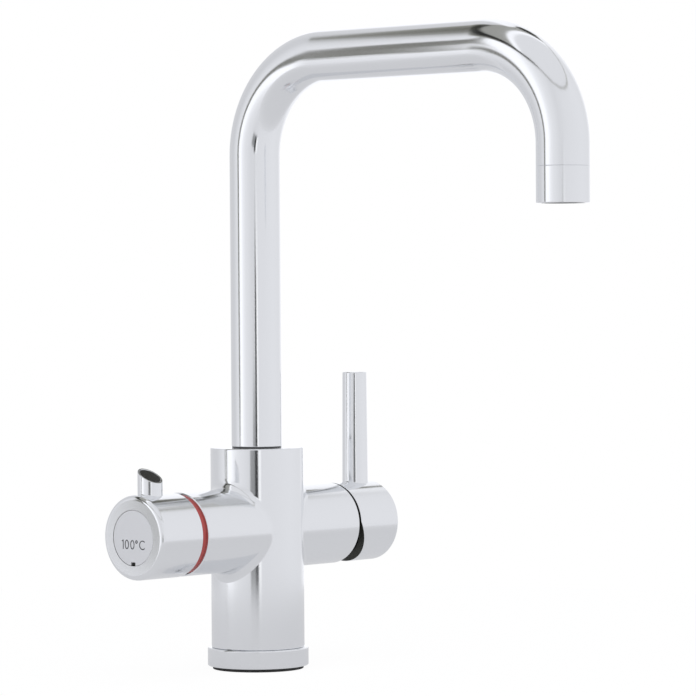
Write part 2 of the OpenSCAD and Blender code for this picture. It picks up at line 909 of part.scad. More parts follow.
module at_post() on_axis() translate([post_x - knob_end, 0, 0]) children();

module grip_post() {
    pad_r = post_d / 2 - pad_rim;
    color("gainsboro")
        at_post() {
            difference() {
                cylinder(d = post_d, h = post_h + post_d);
                above_slant(0);
                intersection() {
                    cylinder(r = pad_r, h = post_h + post_d);
                    above_slant(pad_t);
                }
                translate([-knob_l, 0, 0]) along_x() cylinder(d = knob_d, h = 2 * knob_l);
            }
            translate([0, 0, knob_d / 2 - knob_wall])
                cylinder(d = tenon_d - 2 * fit, h = knob_wall + tenon_sink, $fn = 48);
        }
}

module post_pad() {
    pad_r = post_d / 2 - pad_rim;
    color([0.12, 0.12, 0.13])
        at_post()
            difference() {
                intersection() {
                    cylinder(r = pad_r - fit / 2, h = post_h + post_d);
                    above_slant(pad_t);
                }
                above_slant(pad_sink);
            }
}

// ---- Mixer valve ----

module mixer_cartridge() {
    color("ivory")
        on_axis()
            difference() {
                translate([mix_seat + seat_proud, 0, 0])
                    along_x() cylinder(d = mix_cart_d, h = nut_in - mix_seat - seat_proud);
                translate([carrier_in - air, 0, 0])
                    along_x() cylinder(d = carrier_d + 2 * running, h = right_arm);
                cartridge_ports() cylinder(d = seat_bore, h = cart_port_depth, $fn = 48);
                cartridge_ports()
                    cylinder(d = seat_d + 2 * fit, h = seat_t - seat_proud + eps, $fn = 48);
            }
}

// Repeats a shape at the cartridge's three ports, starting just behind its seat
module cartridge_ports() {
    for (p = [[port_xy, supply_duct_z], [-port_xy, supply_duct_z], [0, mixed_duct_z]])
        translate([mix_seat + seat_proud - eps, p.x, p.y])
            along_x() children();
}

module cartridge_seals() {
    color("black")
        on_axis()
            translate([eps - seat_proud, 0, 0])
                cartridge_ports() ring(seat_d, seat_bore, seat_t);
}

module mixer_nut() {
    color("darkkhaki")
        on_axis()
            difference() {
                translate([nut_in, 0, 0])
                    along_x() ring(mix_nut_d, carrier_d + 4 * air, nut_t);
                for (k = [0:spanner_slots - 1])
                    translate([nut_out - spanner_depth, 0, 0])
                        rotate([45 + k * 360 / spanner_slots, 0, 0])
                            translate([0, -spanner_w / 2, spanner_r])
                                cube([2 * spanner_depth, spanner_w, mix_nut_d]);
            }
}

// Room that the tilting stem sweeps, both outward and behind its pin
module stem_room(w) {
    c = stem_w / 2 + air;
    l = 2 * dome_r;
    b = stem_tail + tail_room;
    on_axis()
        translate([pivot_x, w / 2, 0])
            rotate([90, 0, 0])
                linear_extrude(w)
                    polygon([
                        [0, c], [l, c], [l, -c / cos(tilt_max) - l * tan(tilt_max)],
                        [0, -c / cos(tilt_max)], [0, -c], [-b, -c],
                        [-b, c / cos(tilt_max) + b * tan(tilt_max)], [0, c / cos(tilt_max)]
                    ]);
}

module mixer_carrier() {
    color("lightgray")
        difference() {
            on_axis()
                translate([carrier_in, 0, 0])
                    along_x() cylinder(d = carrier_d, h = carrier_out - carrier_in);
            stem_room(slot_w);
            on_axis()
                translate([pivot_x, carrier_d, 0])
                    rotate([90, 0, 0]) cylinder(d = pin_d, h = 2 * carrier_d, $fn = 48);
        }
}

module stem_pin() {
    l = carrier_d - 2 * pin_short;
    color("slategray")
        on_axis()
            translate([pivot_x, l / 2, 0])
                rotate([90, 0, 0]) cylinder(d = pin_d, h = l, $fn = 48);
}

module mixer_dome() {
    rim = dome_in - pivot_x;
    nose = carrier_out - dome_in;
    color([0.16, 0.16, 0.14])
        difference() {
            on_axis()
                translate([pivot_x, 0, 0])
                    along_x()
                        rotate_extrude()
                            difference() {
                                intersection() {
                                    circle(r = dome_r);
                                    translate([0, rim]) square(dome_r);
                                }
                                translate([-eps, rim - eps])
                                    square([carrier_d / 2 + fit / 2 + eps, nose + eps]);
                            }
            stem_room(slot_w);
        }
}

module mixer_stem() {
    color("lightgray")
        on_axis()
            difference() {
                translate([pivot_x - stem_tail, -stem_w / 2, -stem_w / 2])
                    cube([stem_out - pivot_x + stem_tail, stem_w, stem_w]);
                translate([pivot_x, stem_w, 0])
                    rotate([90, 0, 0])
                        cylinder(d = pin_d + 2 * running, h = 2 * stem_w, $fn = 48);
            }
}

// ---- Mixer handle ----

module mixer_cap() {
    hollow_in = pivot_x + hollow_gap;
    hollow_out = cap_end - cap_face_t;
    hollow_d = cap_d - 2 * (cap_wall + cap_rib);
    socket = stem_w + fit;
    boss_start = pivot_x + cavity_r;
    color("gainsboro")
        on_axis()
            difference() {
                translate([cap_in, 0, 0])
                    along_x() chamfered(cap_d, cap_end - cap_in, cap_rim_chamfer, cap_chamfer);
                difference() {
                    union() {
                        translate([pivot_x, 0, 0]) sphere(r = cavity_r);
                        translate([hollow_in, 0, 0])
                            along_x() cylinder(d = hollow_d, h = hollow_out - hollow_in);
                    }
                    translate([boss_start, 0, 0])
                        along_x() cylinder(d = cap_boss_d, h = cap_end - boss_start);
                }
                translate([boss_start - eps, -socket / 2, -socket / 2])
                    cube([stem_out - boss_start + eps, socket, socket]);
                translate([cap_in, 0, cut_start])
                    rotate([0, -cut_angle, 0])
                        translate([-2 * cap_d, -cap_d, -2 * cap_d])
                            cube([2 * cap_d, 2 * cap_d, 2 * cap_d]);
                translate([lever_x, 0, root_in])
                    cylinder(d = root_d, h = cap_d, $fn = 48);
                translate([lever_x, 0, 0])
                    rotate([-90, 0, 0]) cylinder(d = screw_d, h = cap_d, $fn = 48);
            }
}

module cap_grub_screw() {
    l = cap_r - cap_screw_inset - stem_w / 2;
    color("dimgray")
        on_axis()
            translate([lever_x, stem_w / 2 + l, 0]) grub_screw(l);
}

module mixer_lever() {
    color("gainsboro")
        on_axis()
            translate([lever_x, 0, 0]) {
                difference() {
                    union() {
                        cylinder(d1 = lever_d1, d2 = lever_d2, h = lever_l - lever_chamfer);
                        translate([0, 0, lever_l - lever_chamfer - inset])
                            cylinder(
                                d1 = lever_d2,
                                d2 = lever_d2 - 2 * lever_chamfer,
                                h = lever_chamfer
                            );
                    }
                    translate([-cap_d, 0, 0]) along_x() cylinder(d = cap_d, h = 2 * cap_d);
                }
                translate([0, 0, root_in])
                    cylinder(d = root_d - 2 * fit, h = cap_r - root_in + root_up, $fn = 48);
            }
}

body_casting();
base_ring();
base_gasket();
spout_bush();
spout_grub_screw();
spout_tube();
spout_spigot();
spout_o_rings();
boiling_inner_tube();
outlet_nipple();
outlet_sleeve();
aerator_insert();
aerator_seal();
boiling_cartridge();
boiling_fixed_disc();
boiling_turning_disc();
boiling_spindle();
red_ring();
knob_spring();
knob_screw();
boiling_knob();
index_disc();
grip_post();
post_pad();
mixer_cartridge();
cartridge_seals();
mixer_nut();
mixer_carrier();
mixer_dome();
stem_pin();
mixer_stem();
mixer_cap();
cap_grub_screw();
mixer_lever();
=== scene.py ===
"""Boiling water tap with a side mixing lever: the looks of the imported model.

The chrome pieces are made anew as exact surfaces with exact normals, so that they mirror the
studio cleanly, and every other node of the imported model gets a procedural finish. Lengths are in
metres: +Z up, -Y towards the user, -X towards the boiling knob, +X towards the mixer lever, and
the origin on the worktop under the middle of the body.
"""

from math import asin, cos, pi, radians, sin, tan

import bmesh
import bpy
import numpy as np
from mathutils import Matrix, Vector
from mathutils.geometry import tessellate_polygon


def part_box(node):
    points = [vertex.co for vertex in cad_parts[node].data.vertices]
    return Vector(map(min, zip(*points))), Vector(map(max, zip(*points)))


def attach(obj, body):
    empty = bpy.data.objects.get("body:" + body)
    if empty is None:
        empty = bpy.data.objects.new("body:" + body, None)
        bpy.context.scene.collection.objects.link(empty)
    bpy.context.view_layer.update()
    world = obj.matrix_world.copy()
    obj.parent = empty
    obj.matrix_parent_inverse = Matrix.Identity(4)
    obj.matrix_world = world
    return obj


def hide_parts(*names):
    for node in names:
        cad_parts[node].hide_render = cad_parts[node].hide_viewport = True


bl_info = {
    "name": "Boiling water tap",
    "version": (1, 0, 0),
    "blender": (4, 5, 0),
    "location": "3D View > Sidebar > Tap",
    "description": "Makes the chrome pieces, the finishes and the stage of a boiling water tap",
    "category": "Add Mesh",
}

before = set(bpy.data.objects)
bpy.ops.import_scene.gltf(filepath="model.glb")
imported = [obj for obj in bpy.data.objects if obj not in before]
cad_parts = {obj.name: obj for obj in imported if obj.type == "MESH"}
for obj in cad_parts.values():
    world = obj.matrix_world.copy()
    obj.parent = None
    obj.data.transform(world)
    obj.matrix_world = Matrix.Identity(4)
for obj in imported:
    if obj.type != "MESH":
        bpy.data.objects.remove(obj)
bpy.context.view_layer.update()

MM = 0.001
AROUND = 128  # columns round a turned piece
AROUND_ARM = 256  # columns round the arms of the casting
AROUND_HOLE = 32  # columns round a drilled hole
CORNER_STEPS = 8  # strips across a rounded corner of a profile
WELD = 1e-6  # points nearer than this to each other become one
SIDEWAYS = np.array([1.0, 0.0, 0.0])
BACKWARD = np.array([0.0, 1.0, 0.0])
UPWARD = np.array([0.0, 0.0, 1.0])


# ---- Sizes and colours that a user would change ----------------------------------------------


def length(label, text, millimetres):
    return bpy.props.FloatProperty(
        name=label,
        description=text,
        default=millimetres * MM,
        min=0.0,
        precision=5,
        subtype="DISTANCE",
        unit="LENGTH",
    )


def angle(label, text, value):
    return bpy.props.FloatProperty(
        name=label, description=text, default=radians(value), subtype="ANGLE", unit="ROTATION"
    )


def colour(label, text, value):
    return bpy.props.FloatVectorProperty(
        name=label, description=text, default=value, min=0.0, max=1.0, size=3, subtype="COLOR"
    )


class TapBodySizes(bpy.types.PropertyGroup):
    width: length("Body width", "Across the upright barrel", 51.7)
    height: length("Body height", "Worktop to the top of the barrel", 123)
    axis_height: length("Handle axis", "Worktop to the axis of both arms", 77.8)
    arm_width: length("Arm width", "Across either arm", 45.7)
    boiling_arm: length("Boiling arm", "Body axis to the end of the arm with the knob", 62.5)
    mixer_arm: length("Mixer arm", "Body axis to the end of the arm with the lever", 60.4)
    blend: length("Blend", "Radius of the ball that rolls between arm and barrel", 6)
    edge: length("Edge", "Rounding of the casting's outer edges", 0.6)
    foot_width: length("Foot width", "Across the part that stands inside the base ring", 48)
    foot_gap: length("Foot gap", "Worktop to the underside of the foot", 2)
    ring_width: length("Ring width", "Across the base ring", 56.1)
    ring_bottom: length("Ring bottom", "Worktop to the underside of the base ring", 1.8)
    ring_top: length("Ring top", "Worktop to the top of the base ring", 12)
    ring_edge: length("Ring edge", "Rounding of the base ring's outer edges", 0.8)
    gasket_width: length("Gasket width", "Across the rubber under the base ring", 50.6)
    gasket_bore: length("Gasket bore", "Across the gasket's hole", 42.6)


class TapSpoutSizes(bpy.types.PropertyGroup):
    tube: length("Tube width", "Across the spout tube", 28)
    wall: length("Tube wall", "Thickness of the tube's wall", 1.5)
    foot: length("Riser foot", "Worktop to the lower end of the tube", 123.7)
    height: length("Run height", "Worktop to the axis of the level run", 338)
    reach: length("Reach", "Body axis to the axis of the outlet", 218)
    bend: length("Bend radius", "Radius of the tube's axis in both bends", 53)
    drop: length("Drop", "Straight tube between the second bend and the sleeve", 11.6)
    sleeve: length("Sleeve", "Length of the outlet sleeve", 19.1)
    mouth: length("Mouth", "Across the opening of the outlet", 19.4)
    lip: length("Lip", "Thickness of the sleeve's inward lip", 2)


class TapKnobSizes(bpy.types.PropertyGroup):
    width: length("Knob width", "Across the boiling knob", 45.9)
    depth: length("Knob depth", "Back to face of the boiling knob", 30.6)
    face_edge: length("Face edge", "Rounding between the knob's side and its face", 2.8)
    slot: length("Slot", "Room between the arm and the knob", 4.3)
    red_width: length("Red ring width", "Across the red ring", 42.8)
    disc_width: length("Disc width", "Across the index disc in the knob's face", 30)
    disc_depth: length("Disc depth", "Thickness of the index disc", 1.6)
    disc_step: length("Disc step", "How far the disc's face lies below the knob's", 0.15)
    notch_width: length("Notch width", "Across the notch at the disc's foot", 3.2)
    notch_depth: length("Notch depth", "Height of the notch", 1.9)
    post: length("Post width", "Across the grip post", 13.6)
    post_place: length("Post place", "Knob's face to the axis of the post", 13.3)
    post_height: length("Post height", "Knob's axis to the middle of the post's top", 33)
    post_slant: angle("Post slant", "Slope of the post's top", 30)
    pad_rim: length("Pad rim", "Width of the bright rim round the pad", 1.1)
    pad_depth: length("Pad depth", "Depth of the seat under the pad", 1)


class TapMixerSizes(bpy.types.PropertyGroup):
    width: length("Cap width", "Across the mixer cap", 45.3)
    back: length("Cap back", "Body axis to the cap's upper rim", 62.1)
    face: length("Cap face", "Body axis to the cap's face", 93.8)
    wall: length("Cap wall", "Thickness of the cap's wall", 4.3)
    cut: angle("Cut angle", "Slope of the lower rim, which lets the cap tilt", 23.3)
    cut_start: length("Cut start", "Height above the axis at which the lower rim leaves", 1.2)
    lever_place: length("Lever place", "Body axis to the axis of the lever", 82.2)
    lever_foot: length("Lever foot", "Across the lever at the handle axis", 14.7)
    lever_tip: length("Lever tip", "Across the lever at its tip", 13.8)
    lever_length: length("Lever length", "Handle axis to the lever's tip", 85.5)


class TapColours(bpy.types.PropertyGroup):
    chrome: colour("Chrome", "Bright plating", (0.86, 0.862, 0.872))
    satin: colour("Satin", "Brushed plating of the knob's face", (0.83, 0.832, 0.84))
    rubber: colour("Rubber", "Gasket, seals and O-rings", (0.018, 0.018, 0.019))
    black: colour("Black plastic", "Pad, bush and dome", (0.014, 0.014, 0.013))
    grey: colour("Grey plastic", "Inner pipe and fittings", (0.32, 0.33, 0.34))
    cartridge: colour("Cartridge", "Moulded cartridge bodies", (0.62, 0.64, 0.62))
    red: colour("Red ring", "Warning ring of the boiling side", (0.33, 0.032, 0.03))
    ceramic: colour("Ceramic", "Sealing discs", (0.8, 0.79, 0.75))
    brass: colour("Brass", "Machined brass", (0.76, 0.57, 0.28))
    steel: colour("Steel", "Springs, pins and screws", (0.56, 0.56, 0.57))
    # Painted shade: a near-black tone for the insides, rims and end faces seen only in the narrow
    # gaps of the handles, the knob and the outlet, where shade falls.
    bare: colour("Bare inside", "Unplated inside of the handles and joints", (0.022, 0.023, 0.018))
    mark: colour("Marking", "Printed temperature mark", (0.03, 0.033, 0.04))
    floor: colour("Floor", "Worktop under the tap", (0.86, 0.86, 0.87))


# ---- Surfaces ---------------------------------------------------------------------------------
# A surface is (points, normals) on a grid of rows and columns, or (points, normals, triangles).


def unit(vectors):
    return vectors / np.linalg.norm(vectors, axis=-1, keepdims=True)


def rounded(corners):
    """Profile of straight lines whose corners (radius, height, fillet) are rounded.

    The metal lies on the left of the walk, so the outward normal of a line is its direction turned
    right, (dh, -dr). A fillet f at a corner that turns by the angle a takes f tan(a / 2) off both
    lines, and its points stand at f from a centre, along normals that turn evenly by a. A sharp
    corner ends one stretch and starts the next.
    """
    corners = np.array(corners, dtype=float)
    spots = corners[:, :2]
    along = unit(np.diff(spots, axis=0))
    out = np.stack([along[:, 1], -along[:, 0]], axis=1)
    stretches, points, normals = [], [spots[:1]], [out[:1]]
    turns = zip(spots[1:-1], corners[1:-1, 2], along, along[1:], out)
    for spot, fillet, before, after, n in turns:
        turn = np.arctan2(before[0] * after[1] - before[1] * after[0], before @ after)
        side = np.sign(turn)
        bend = turn * np.linspace(0.0, 1.0, CORNER_STEPS + 1 if fillet else 2)[:, None]
        swept = np.cos(bend) * n + np.sin(bend) * np.array([-n[1], n[0]])
        centre = spot - before * fillet * tan(abs(turn) / 2) - side * fillet * n
        arc = centre + side * fillet * swept
        if fillet:
            points.append(arc)
            normals.append(swept)
            continue
        points.append(arc[:1])
        normals.append(swept[:1])
        stretches.append((np.concatenate(points), np.concatenate(normals)))
        points, normals = [arc[1:]], [swept[1:]]
    points.append(spots[-1:])
    normals.append(out[-1:])
    stretches.append((np.concatenate(points), np.concatenate(normals)))
    return stretches


def place(origin=(0.0, 0.0, 0.0), axis=UPWARD, across=SIDEWAYS, up=BACKWARD):
    return [np.array(vector, dtype=float) for vector in (origin, axis, across, up)]


def spun(stretches, angles, where):
    """Profile turned about an axis: origin + h axis + r (cos t across + sin t up)."""
    origin, axis, across, up = where
    ring = (np.cos(angles)[:, None] * across + np.sin(angles)[:, None] * up)[:, None, :]
    return [
        (
            origin + points[:, 1, None] * axis + points[:, 0, None] * ring,
            normals[:, 1, None] * axis + normals[:, 0, None] * ring,
        )
        for points, normals in stretches
    ]


def full_turn(columns=AROUND):
    return np.linspace(0.0, 2 * pi, columns + 1)


def turned(corners, where, angles=full_turn()):
    """Turned piece from its rounded profile, all the way round unless angles say otherwise."""
    return spun(rounded(corners), angles, where)


def stepped(level, steps, edge=0):
    """Corners down a stepped bore from this level, by steps of (radius, floor, fillet there)."""
    corners = []
    for radius, floor, fillet in steps:
        corners += [(radius, level, edge), (radius, floor, fillet)]
        level, edge = floor, 0
    return corners


def between(start, end, normals):
    """Ruled surface: (1 - v) start + v end, with the normals of its columns."""
    v = np.array([0.0, 1.0])[:, None, None]
    points = (1 - v) * start + v * end
    return points, np.broadcast_to(normals, points.shape)


def rolled(centres, radius, start, end, outside=True, steps=6):
    """Rounding left by a ball: centre + radius d, where d turns evenly from start to end.

    d(u) = (sin((1 - u) w) start + sin(u w) end) / sin w, with w the angle between the two. The
    normal is d on an outer edge and -d in an inner corner.
    """
    w = np.arccos(np.clip(np.sum(start * end, axis=-1), -1.0, 1.0))[:, None]
    u = np.linspace(0.0, 1.0, steps + 1)[:, None, None]
    d = unit((np.sin((1 - u) * w) * start + np.sin(u * w) * end) / np.sin(w))
    return centres + radius * d, d if outside else -d


def plate(loops, normal):
    """Flat or unrolled face between an outer loop and the loops of its holes, in triangles.

    Each loop is (flat points, points in space); the flat ones say how the triangles lie.
    """
    flat = [[(*spot, 0.0) for spot in spots.tolist()] for spots, _ in loops]
    points = np.concatenate([points for _, points in loops])
    return points, np.broadcast_to(normal, points.shape), np.array(tessellate_polygon(flat))


def pierced(radius, turns, levels, hole, depth, where):
    """Piece of an upright wall with a round hole drilled into it, and the hole's own wall and end.

    The wall's points are origin + level axis + radius (cos turn across + sin turn up). The hole's
    rim of radius h lies at level + h sin a and turn + asin(h cos a / radius). The flat outline
    that the triangles are laid out on is bowed inwards, so that none of them lies along it.
    """
    origin, axis, across, up = where
    middle, level, h = hole
    a = full_turn(AROUND_HOLE)[:-1]
    rim = np.stack([middle + np.arcsin(h * np.cos(a) / radius), level + h * np.sin(a)], axis=1)
    low = np.stack([turns, np.full_like(turns, levels[0])], axis=1)
    high = np.stack([turns[::-1], np.full_like(turns, levels[1])], axis=1)
    loops = [np.concatenate([low, high]), rim]
    outward = lambda turn: np.cos(turn)[:, None] * across + np.sin(turn)[:, None] * up
    spots = [origin + f[:, 1:] * axis + radius * outward(f[:, 0]) for f in loops]
    normals = np.concatenate([outward(f[:, 0]) for f in loops])
    flats = [f * (radius, 1.0) for f in loops]
    share = 2 * (loops[0][:, 0] - turns[0]) / (turns[-1] - turns[0]) - 1
    flats[0][:, 1] += 0.1 * (1 - share**2) * (sum(levels) / 2 - loops[0][:, 1])
    window = plate(list(zip(flats, spots)), normals)
    drill = outward(np.array([middle]))[0]
    aside = outward(np.array([middle + pi / 2]))[0]
    a = np.append(a, 0.0)[:, None]
    mouth = np.append(spots[1], spots[1][:1], axis=0)
    end = mouth + (depth - (mouth - origin) @ drill)[:, None] * drill
    inward = -np.cos(a) * aside - np.sin(a) * axis
    centre = np.broadcast_to(origin + level * axis + depth * drill, end.shape)
    return [window, between(mouth, end, inward), between(end, centre, drill)]


def tube(path, sections, radius, inside=False):
    """Round wall about a path: path + radius (cos s aside + sin s outward), row by row."""
    s = full_turn()[:, None]
    ring = np.cos(s) * SIDEWAYS + np.sin(s) * sections[:, None, :]
    return path[:, None, :] + radius * ring, -ring if inside else ring


# ---- Meshes -----------------------------------------------------------------------------------


def faces_of(surface, start):
    """Corners of a surface's faces, turned round where they disagree with its normals."""
    points, normals = (np.reshape(part, (-1, 3)) for part in surface[:2])
    if len(surface) == 3:
        corners = surface[2]
    else:
        rows, columns = surface[0].shape[:2]
        grid = np.arange(rows * columns).reshape(rows, columns)
        sides = grid[:-1, :-1], grid[:-1, 1:], grid[1:, 1:], grid[1:, :-1]
        corners = np.stack(sides, axis=-1).reshape(-1, 4)
    p = points[corners]
    facing = np.cross(p[:, 2] - p[:, 0], p[:, -1] - p[:, 1])
    wrong = np.sum(facing * normals[corners].sum(axis=1), axis=1) < 0
    corners = np.where(wrong[:, None], corners[:, ::-1], corners)
    return (corners + start).tolist(), normals[corners.ravel()]


def laid(flat, where):
    """Flat points or directions (across, up) in space, without the origin."""
    return flat[:, :1] * where[2] + flat[:, 1:] * where[3]


def prism(stretches, low, high, where):
    """Straight walls on an outline, from low to high along the axis, and a flat end on each."""
    origin, axis = where[:2]
    outline = np.concatenate([points[:-1] for points, _ in stretches])
    bottom, top = origin + low * axis, origin + high * axis
    surfaces = [
        between(bottom + laid(points, where), top + laid(points, where), laid(normals, where))
        for points, normals in stretches
    ]
    for base, outward in ((bottom, -axis), (top, axis)):
        surfaces.append(plate([(outline, base + laid(outline, where))], outward))
    return surfaces


def solid(name, body, slot, finished, *nodes):
    """One closed piece from its surfaces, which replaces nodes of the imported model.

    The surfaces are given by the name of their finish, or as a list where it is the slot's.
    Seams and poles are welded, and the exact normals are kept.
    """
    if isinstance(finished, list):
        finished = {slot: finished}
    surfaces = [surface for group in finished.values() for surface in group]
    points = np.concatenate([np.reshape(surface[0], (-1, 3)) for surface in surfaces])
    starts = np.cumsum([0] + [surface[0].size // 3 for surface in surfaces])
    made = [faces_of(surface, start) for surface, start in zip(surfaces, starts)]
    mesh = bpy.data.meshes.new(name)
    mesh.from_pydata(points, [], [face for faces, _ in made for face in faces], shade_flat=False)
    coats = np.repeat(np.arange(len(finished)), [len(group) for group in finished.values()])
    coats = np.repeat(coats, [len(faces) for faces, _ in made])
    mesh.polygons.foreach_set("material_index", coats)
    exact = mesh.attributes.new("exact_normal", "FLOAT_VECTOR", "CORNER")
    exact.data.foreach_set("vector", np.concatenate([n for _, n in made]).ravel())
    weld = bmesh.new()
    weld.from_mesh(mesh)
    bmesh.ops.remove_doubles(weld, verts=weld.verts, dist=WELD)
    weld.to_mesh(mesh)
    weld.free()
    exact = mesh.attributes["exact_normal"]
    normals = np.empty(len(mesh.loops) * 3)
    exact.data.foreach_get("vector", normals)
    mesh.attributes.remove(exact)
    mesh.normals_split_custom_set(normals.reshape(-1, 3))
    for coat in finished:
        mesh.materials.append(finish(coat))
    piece = bpy.data.objects.new(name, mesh)
    bpy.context.scene.collection.objects.link(piece)
    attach(piece, body)
    if nodes:
        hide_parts(*nodes)


# ---- Finishes ---------------------------------------------------------------------------------


class Wire:
    """A node's output with plain arithmetic: an expression on numbers adds its Math nodes."""

    def __init__(self, board, socket):
        self.board, self.socket = board, socket

    def maths(self, operation, *terms):
        return self.board.add("ShaderNodeMath", {"operation": operation}, dict(enumerate(terms)))

    def __add__(self, other):
        return self.maths("ADD", self, other)

    def __sub__(self, other):
        return self.maths("SUBTRACT", self, other)

    def __rsub__(self, other):
        return self.maths("SUBTRACT", other, self)

    def __mul__(self, other):
        return self.maths("MULTIPLY", self, other)

    def __truediv__(self, other):
        return self.maths("DIVIDE", self, other)

    __radd__, __rmul__ = __add__, __mul__


class Board:
    """The nodes of one material or of the world."""

    def __init__(self, tree):
        self.tree = tree
        tree.nodes.clear()

    def add(self, kind, settings=None, inputs=None, output=0):
        """A node of this type: its settings first, then its sockets' values or links."""
        node = self.tree.nodes.new(kind)
        for key, value in (settings or {}).items():
            if key == "stops":
                ramp = node.color_ramp.elements
                ramp.remove(ramp[0])
                for stop, (position, tone) in enumerate(value):
                    element = ramp.new(position) if stop else ramp[0]
                    element.position, element.color = position, (*tone, 1.0)
            else:
                setattr(node, key, value)
        for key, value in (inputs or {}).items():
            if isinstance(value, Wire):
                self.tree.links.new(value.socket, node.inputs[key])
            else:
                node.inputs[key].default_value = value
        return Wire(self, node.outputs[output]) if node.outputs else None

    def parts(self, kind, whole):
        """The outputs of a node that takes a vector or a colour apart."""
        outputs = self.add(kind, {}, {0: whole}).socket.node.outputs
        return [Wire(self, socket) for socket in outputs[:3]]

    def here(self):
        return self.add("ShaderNodeTexCoord", output="Object")

    def speckle(self, scale, detail=2.0, stretch=(1.0, 1.0, 1.0)):
        """Noise between 0 and 1, with scale spots to a metre, drawn out by stretch."""
        spot = self.add("ShaderNodeMapping", {}, {"Vector": self.here(), "Scale": stretch})
        inputs = {"Vector": spot, "Scale": scale, "Detail": detail}
        return self.add("ShaderNodeTexNoise", {}, inputs)

    def blend(self, factor, first, second):
        """Colour between two others."""
        inputs = {0: factor, 6: self.tint(first), 7: self.tint(second)}
        return self.add("ShaderNodeMix", {"data_type": "RGBA"}, inputs, output=2)

    def mottled(self, tone, share, pattern):
        """The tone, darkened to this share of itself where the pattern is 0."""
        return self.blend(pattern, tuple(part * share for part in tone), tone)

    def tint(self, value):
        return value if isinstance(value, Wire) else (*value, 1.0)

    def step(self, value, low, high):
        """0 below low, 1 above high, and a smooth rise between the two."""
        inputs = {"Value": value, "From Min": low, "From Max": high}
        return self.add("ShaderNodeMapRange", {"interpolation_type": "SMOOTHSTEP"}, inputs)

    def bumps(self, height, depth):
        inputs = {"Height": height, "Distance": depth, "Strength": 1.0}
        return self.add("ShaderNodeBump", {}, inputs)

    def glow(self, tone, strength=1.0, kind="ShaderNodeEmission"):
        return self.add(kind, {}, {"Color": tone, "Strength": strength})

    def mixed(self, share, first, second):
        return self.add("ShaderNodeMixShader", {}, {0: share, 1: first, 2: second})

    def coated(self, **sockets):
        names = {key.replace("_", " "): value for key, value in sockets.items()}
        return self.add("ShaderNodeBsdfPrincipled", {}, names)


def material(name, shade):
    """The named material, whose nodes shade lays out the first time that it is asked for."""
    found = bpy.data.materials.get(name)
    if found:
        return found
    made = bpy.data.materials.new(name)
    made.use_nodes = True
    board = Board(made.node_tree)
    surface = shade(board, bpy.context.scene.tap_colours)
    board.add("ShaderNodeOutputMaterial", {}, {"Surface": surface})
    return made


def chrome(board, colours):
    """Bright plating: a mirror, but for a haze and an orange peel too faint to see from afar."""
    haze = board.speckle(55.0, 3.0)
    return board.coated(
        Metallic=1.0,
        Base_Color=board.mottled(colours.chrome, 0.97, haze),
        Roughness=0.006 + 0.012 * haze,
        Normal=board.bumps(board.speckle(90.0), 0.001 * MM),
    )


def satin_chrome(board, colours):
    """Brushed plating: fine level strokes in its tone, its gloss and its relief."""
    strokes = board.speckle(420.0, 4.0, (1.0, 1.0, 9.0))
    haze = board.speckle(60.0)
    return board.coated(
        Metallic=1.0,
        Base_Color=board.mottled(colours.satin, 0.93, strokes),
        Roughness=0.3 + 0.08 * strokes + 0.05 * haze,
        Normal=board.bumps(strokes, 0.01 * MM),
    )


def machined(tone, rough):
    """Turned metal: fine grooves and a slightly uneven gloss."""

    def shade(board, colours):
        grooves = board.speckle(900.0, 2.0)
        haze = board.speckle(90.0, 3.0)
        return board.coated(
            Metallic=1.0,
            Base_Color=board.mottled(getattr(colours, tone), 0.86, haze),
            Roughness=rough + 0.12 * haze,
            Normal=board.bumps(grooves, 0.01 * MM),
        )

    return shade


def moulded(tone, rough, grain=0.02, coat=0.0):
    """Moulded plastic, rubber or ceramic: a soft mottle under a fine grain, in millimetres."""

    def shade(board, colours):
        mottle = board.speckle(130.0, 3.0)
        return board.coated(
            Base_Color=board.mottled(getattr(colours, tone), 0.82, mottle),
            Roughness=rough + 0.1 * mottle,
            Normal=board.bumps(board.speckle(1500.0), grain * MM),
            Coat_Weight=coat,
            Coat_Roughness=0.08,
        )

    return shade


FINISHES = {
    "chrome": chrome,
    "satin_chrome": satin_chrome,
    "black_rubber": moulded("rubber", 0.55, 0.04),
    "black_plastic": moulded("black", 0.28),
    "glossy_black": moulded("black", 0.12, 0.005, 0.2),
    "grey_plastic": moulded("grey", 0.4),
    "cartridge_plastic": moulded("cartridge", 0.35),
    "red_plastic": moulded("red", 0.3, 0.01, 0.4),
    "ceramic": moulded("ceramic", 0.18, 0.005),
    "brass": machined("brass", 0.22),
    "steel": machined("steel", 0.26),
    "printed_mark": moulded("mark", 0.45, 0.01),
    # Painted shade: near black, for the surfaces in the gaps and openings where shade falls.
    "bare_inside": moulded("bare", 0.5, 0.03),
}


def finish(name):
    return material(name, FINISHES[name])


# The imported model's own nodes that stay, by the finish that they get.
KEPT_NODES = {
    "chrome": ("mixer_stem",),
    "black_rubber": ("spout_o_rings", "aerator_seal", "cartridge_seals"),
    # The mixer dome's black is partly its own plastic and partly painted shade, so that the gap
    # round the cap renders dark.
    "black_plastic": ("spout_bush", "mixer_dome", "mixer_carrier", "aerator_insert"),
    "grey_plastic": ("boiling_inner_tube",),
    "cartridge_plastic": ("mixer_cartridge",),
    "ceramic": ("boiling_fixed_disc", "boiling_turning_disc"),
    "brass": (
        "boiling_cartridge",
        "boiling_spindle",
        "mixer_nut",
        "spout_spigot",
        "outlet_nipple",
    ),
    "steel": ("knob_spring", "knob_screw", "stem_pin", "spout_grub_screw", "cap_grub_screw"),
}


# ---- Body -------------------------------------------------------------------------------------


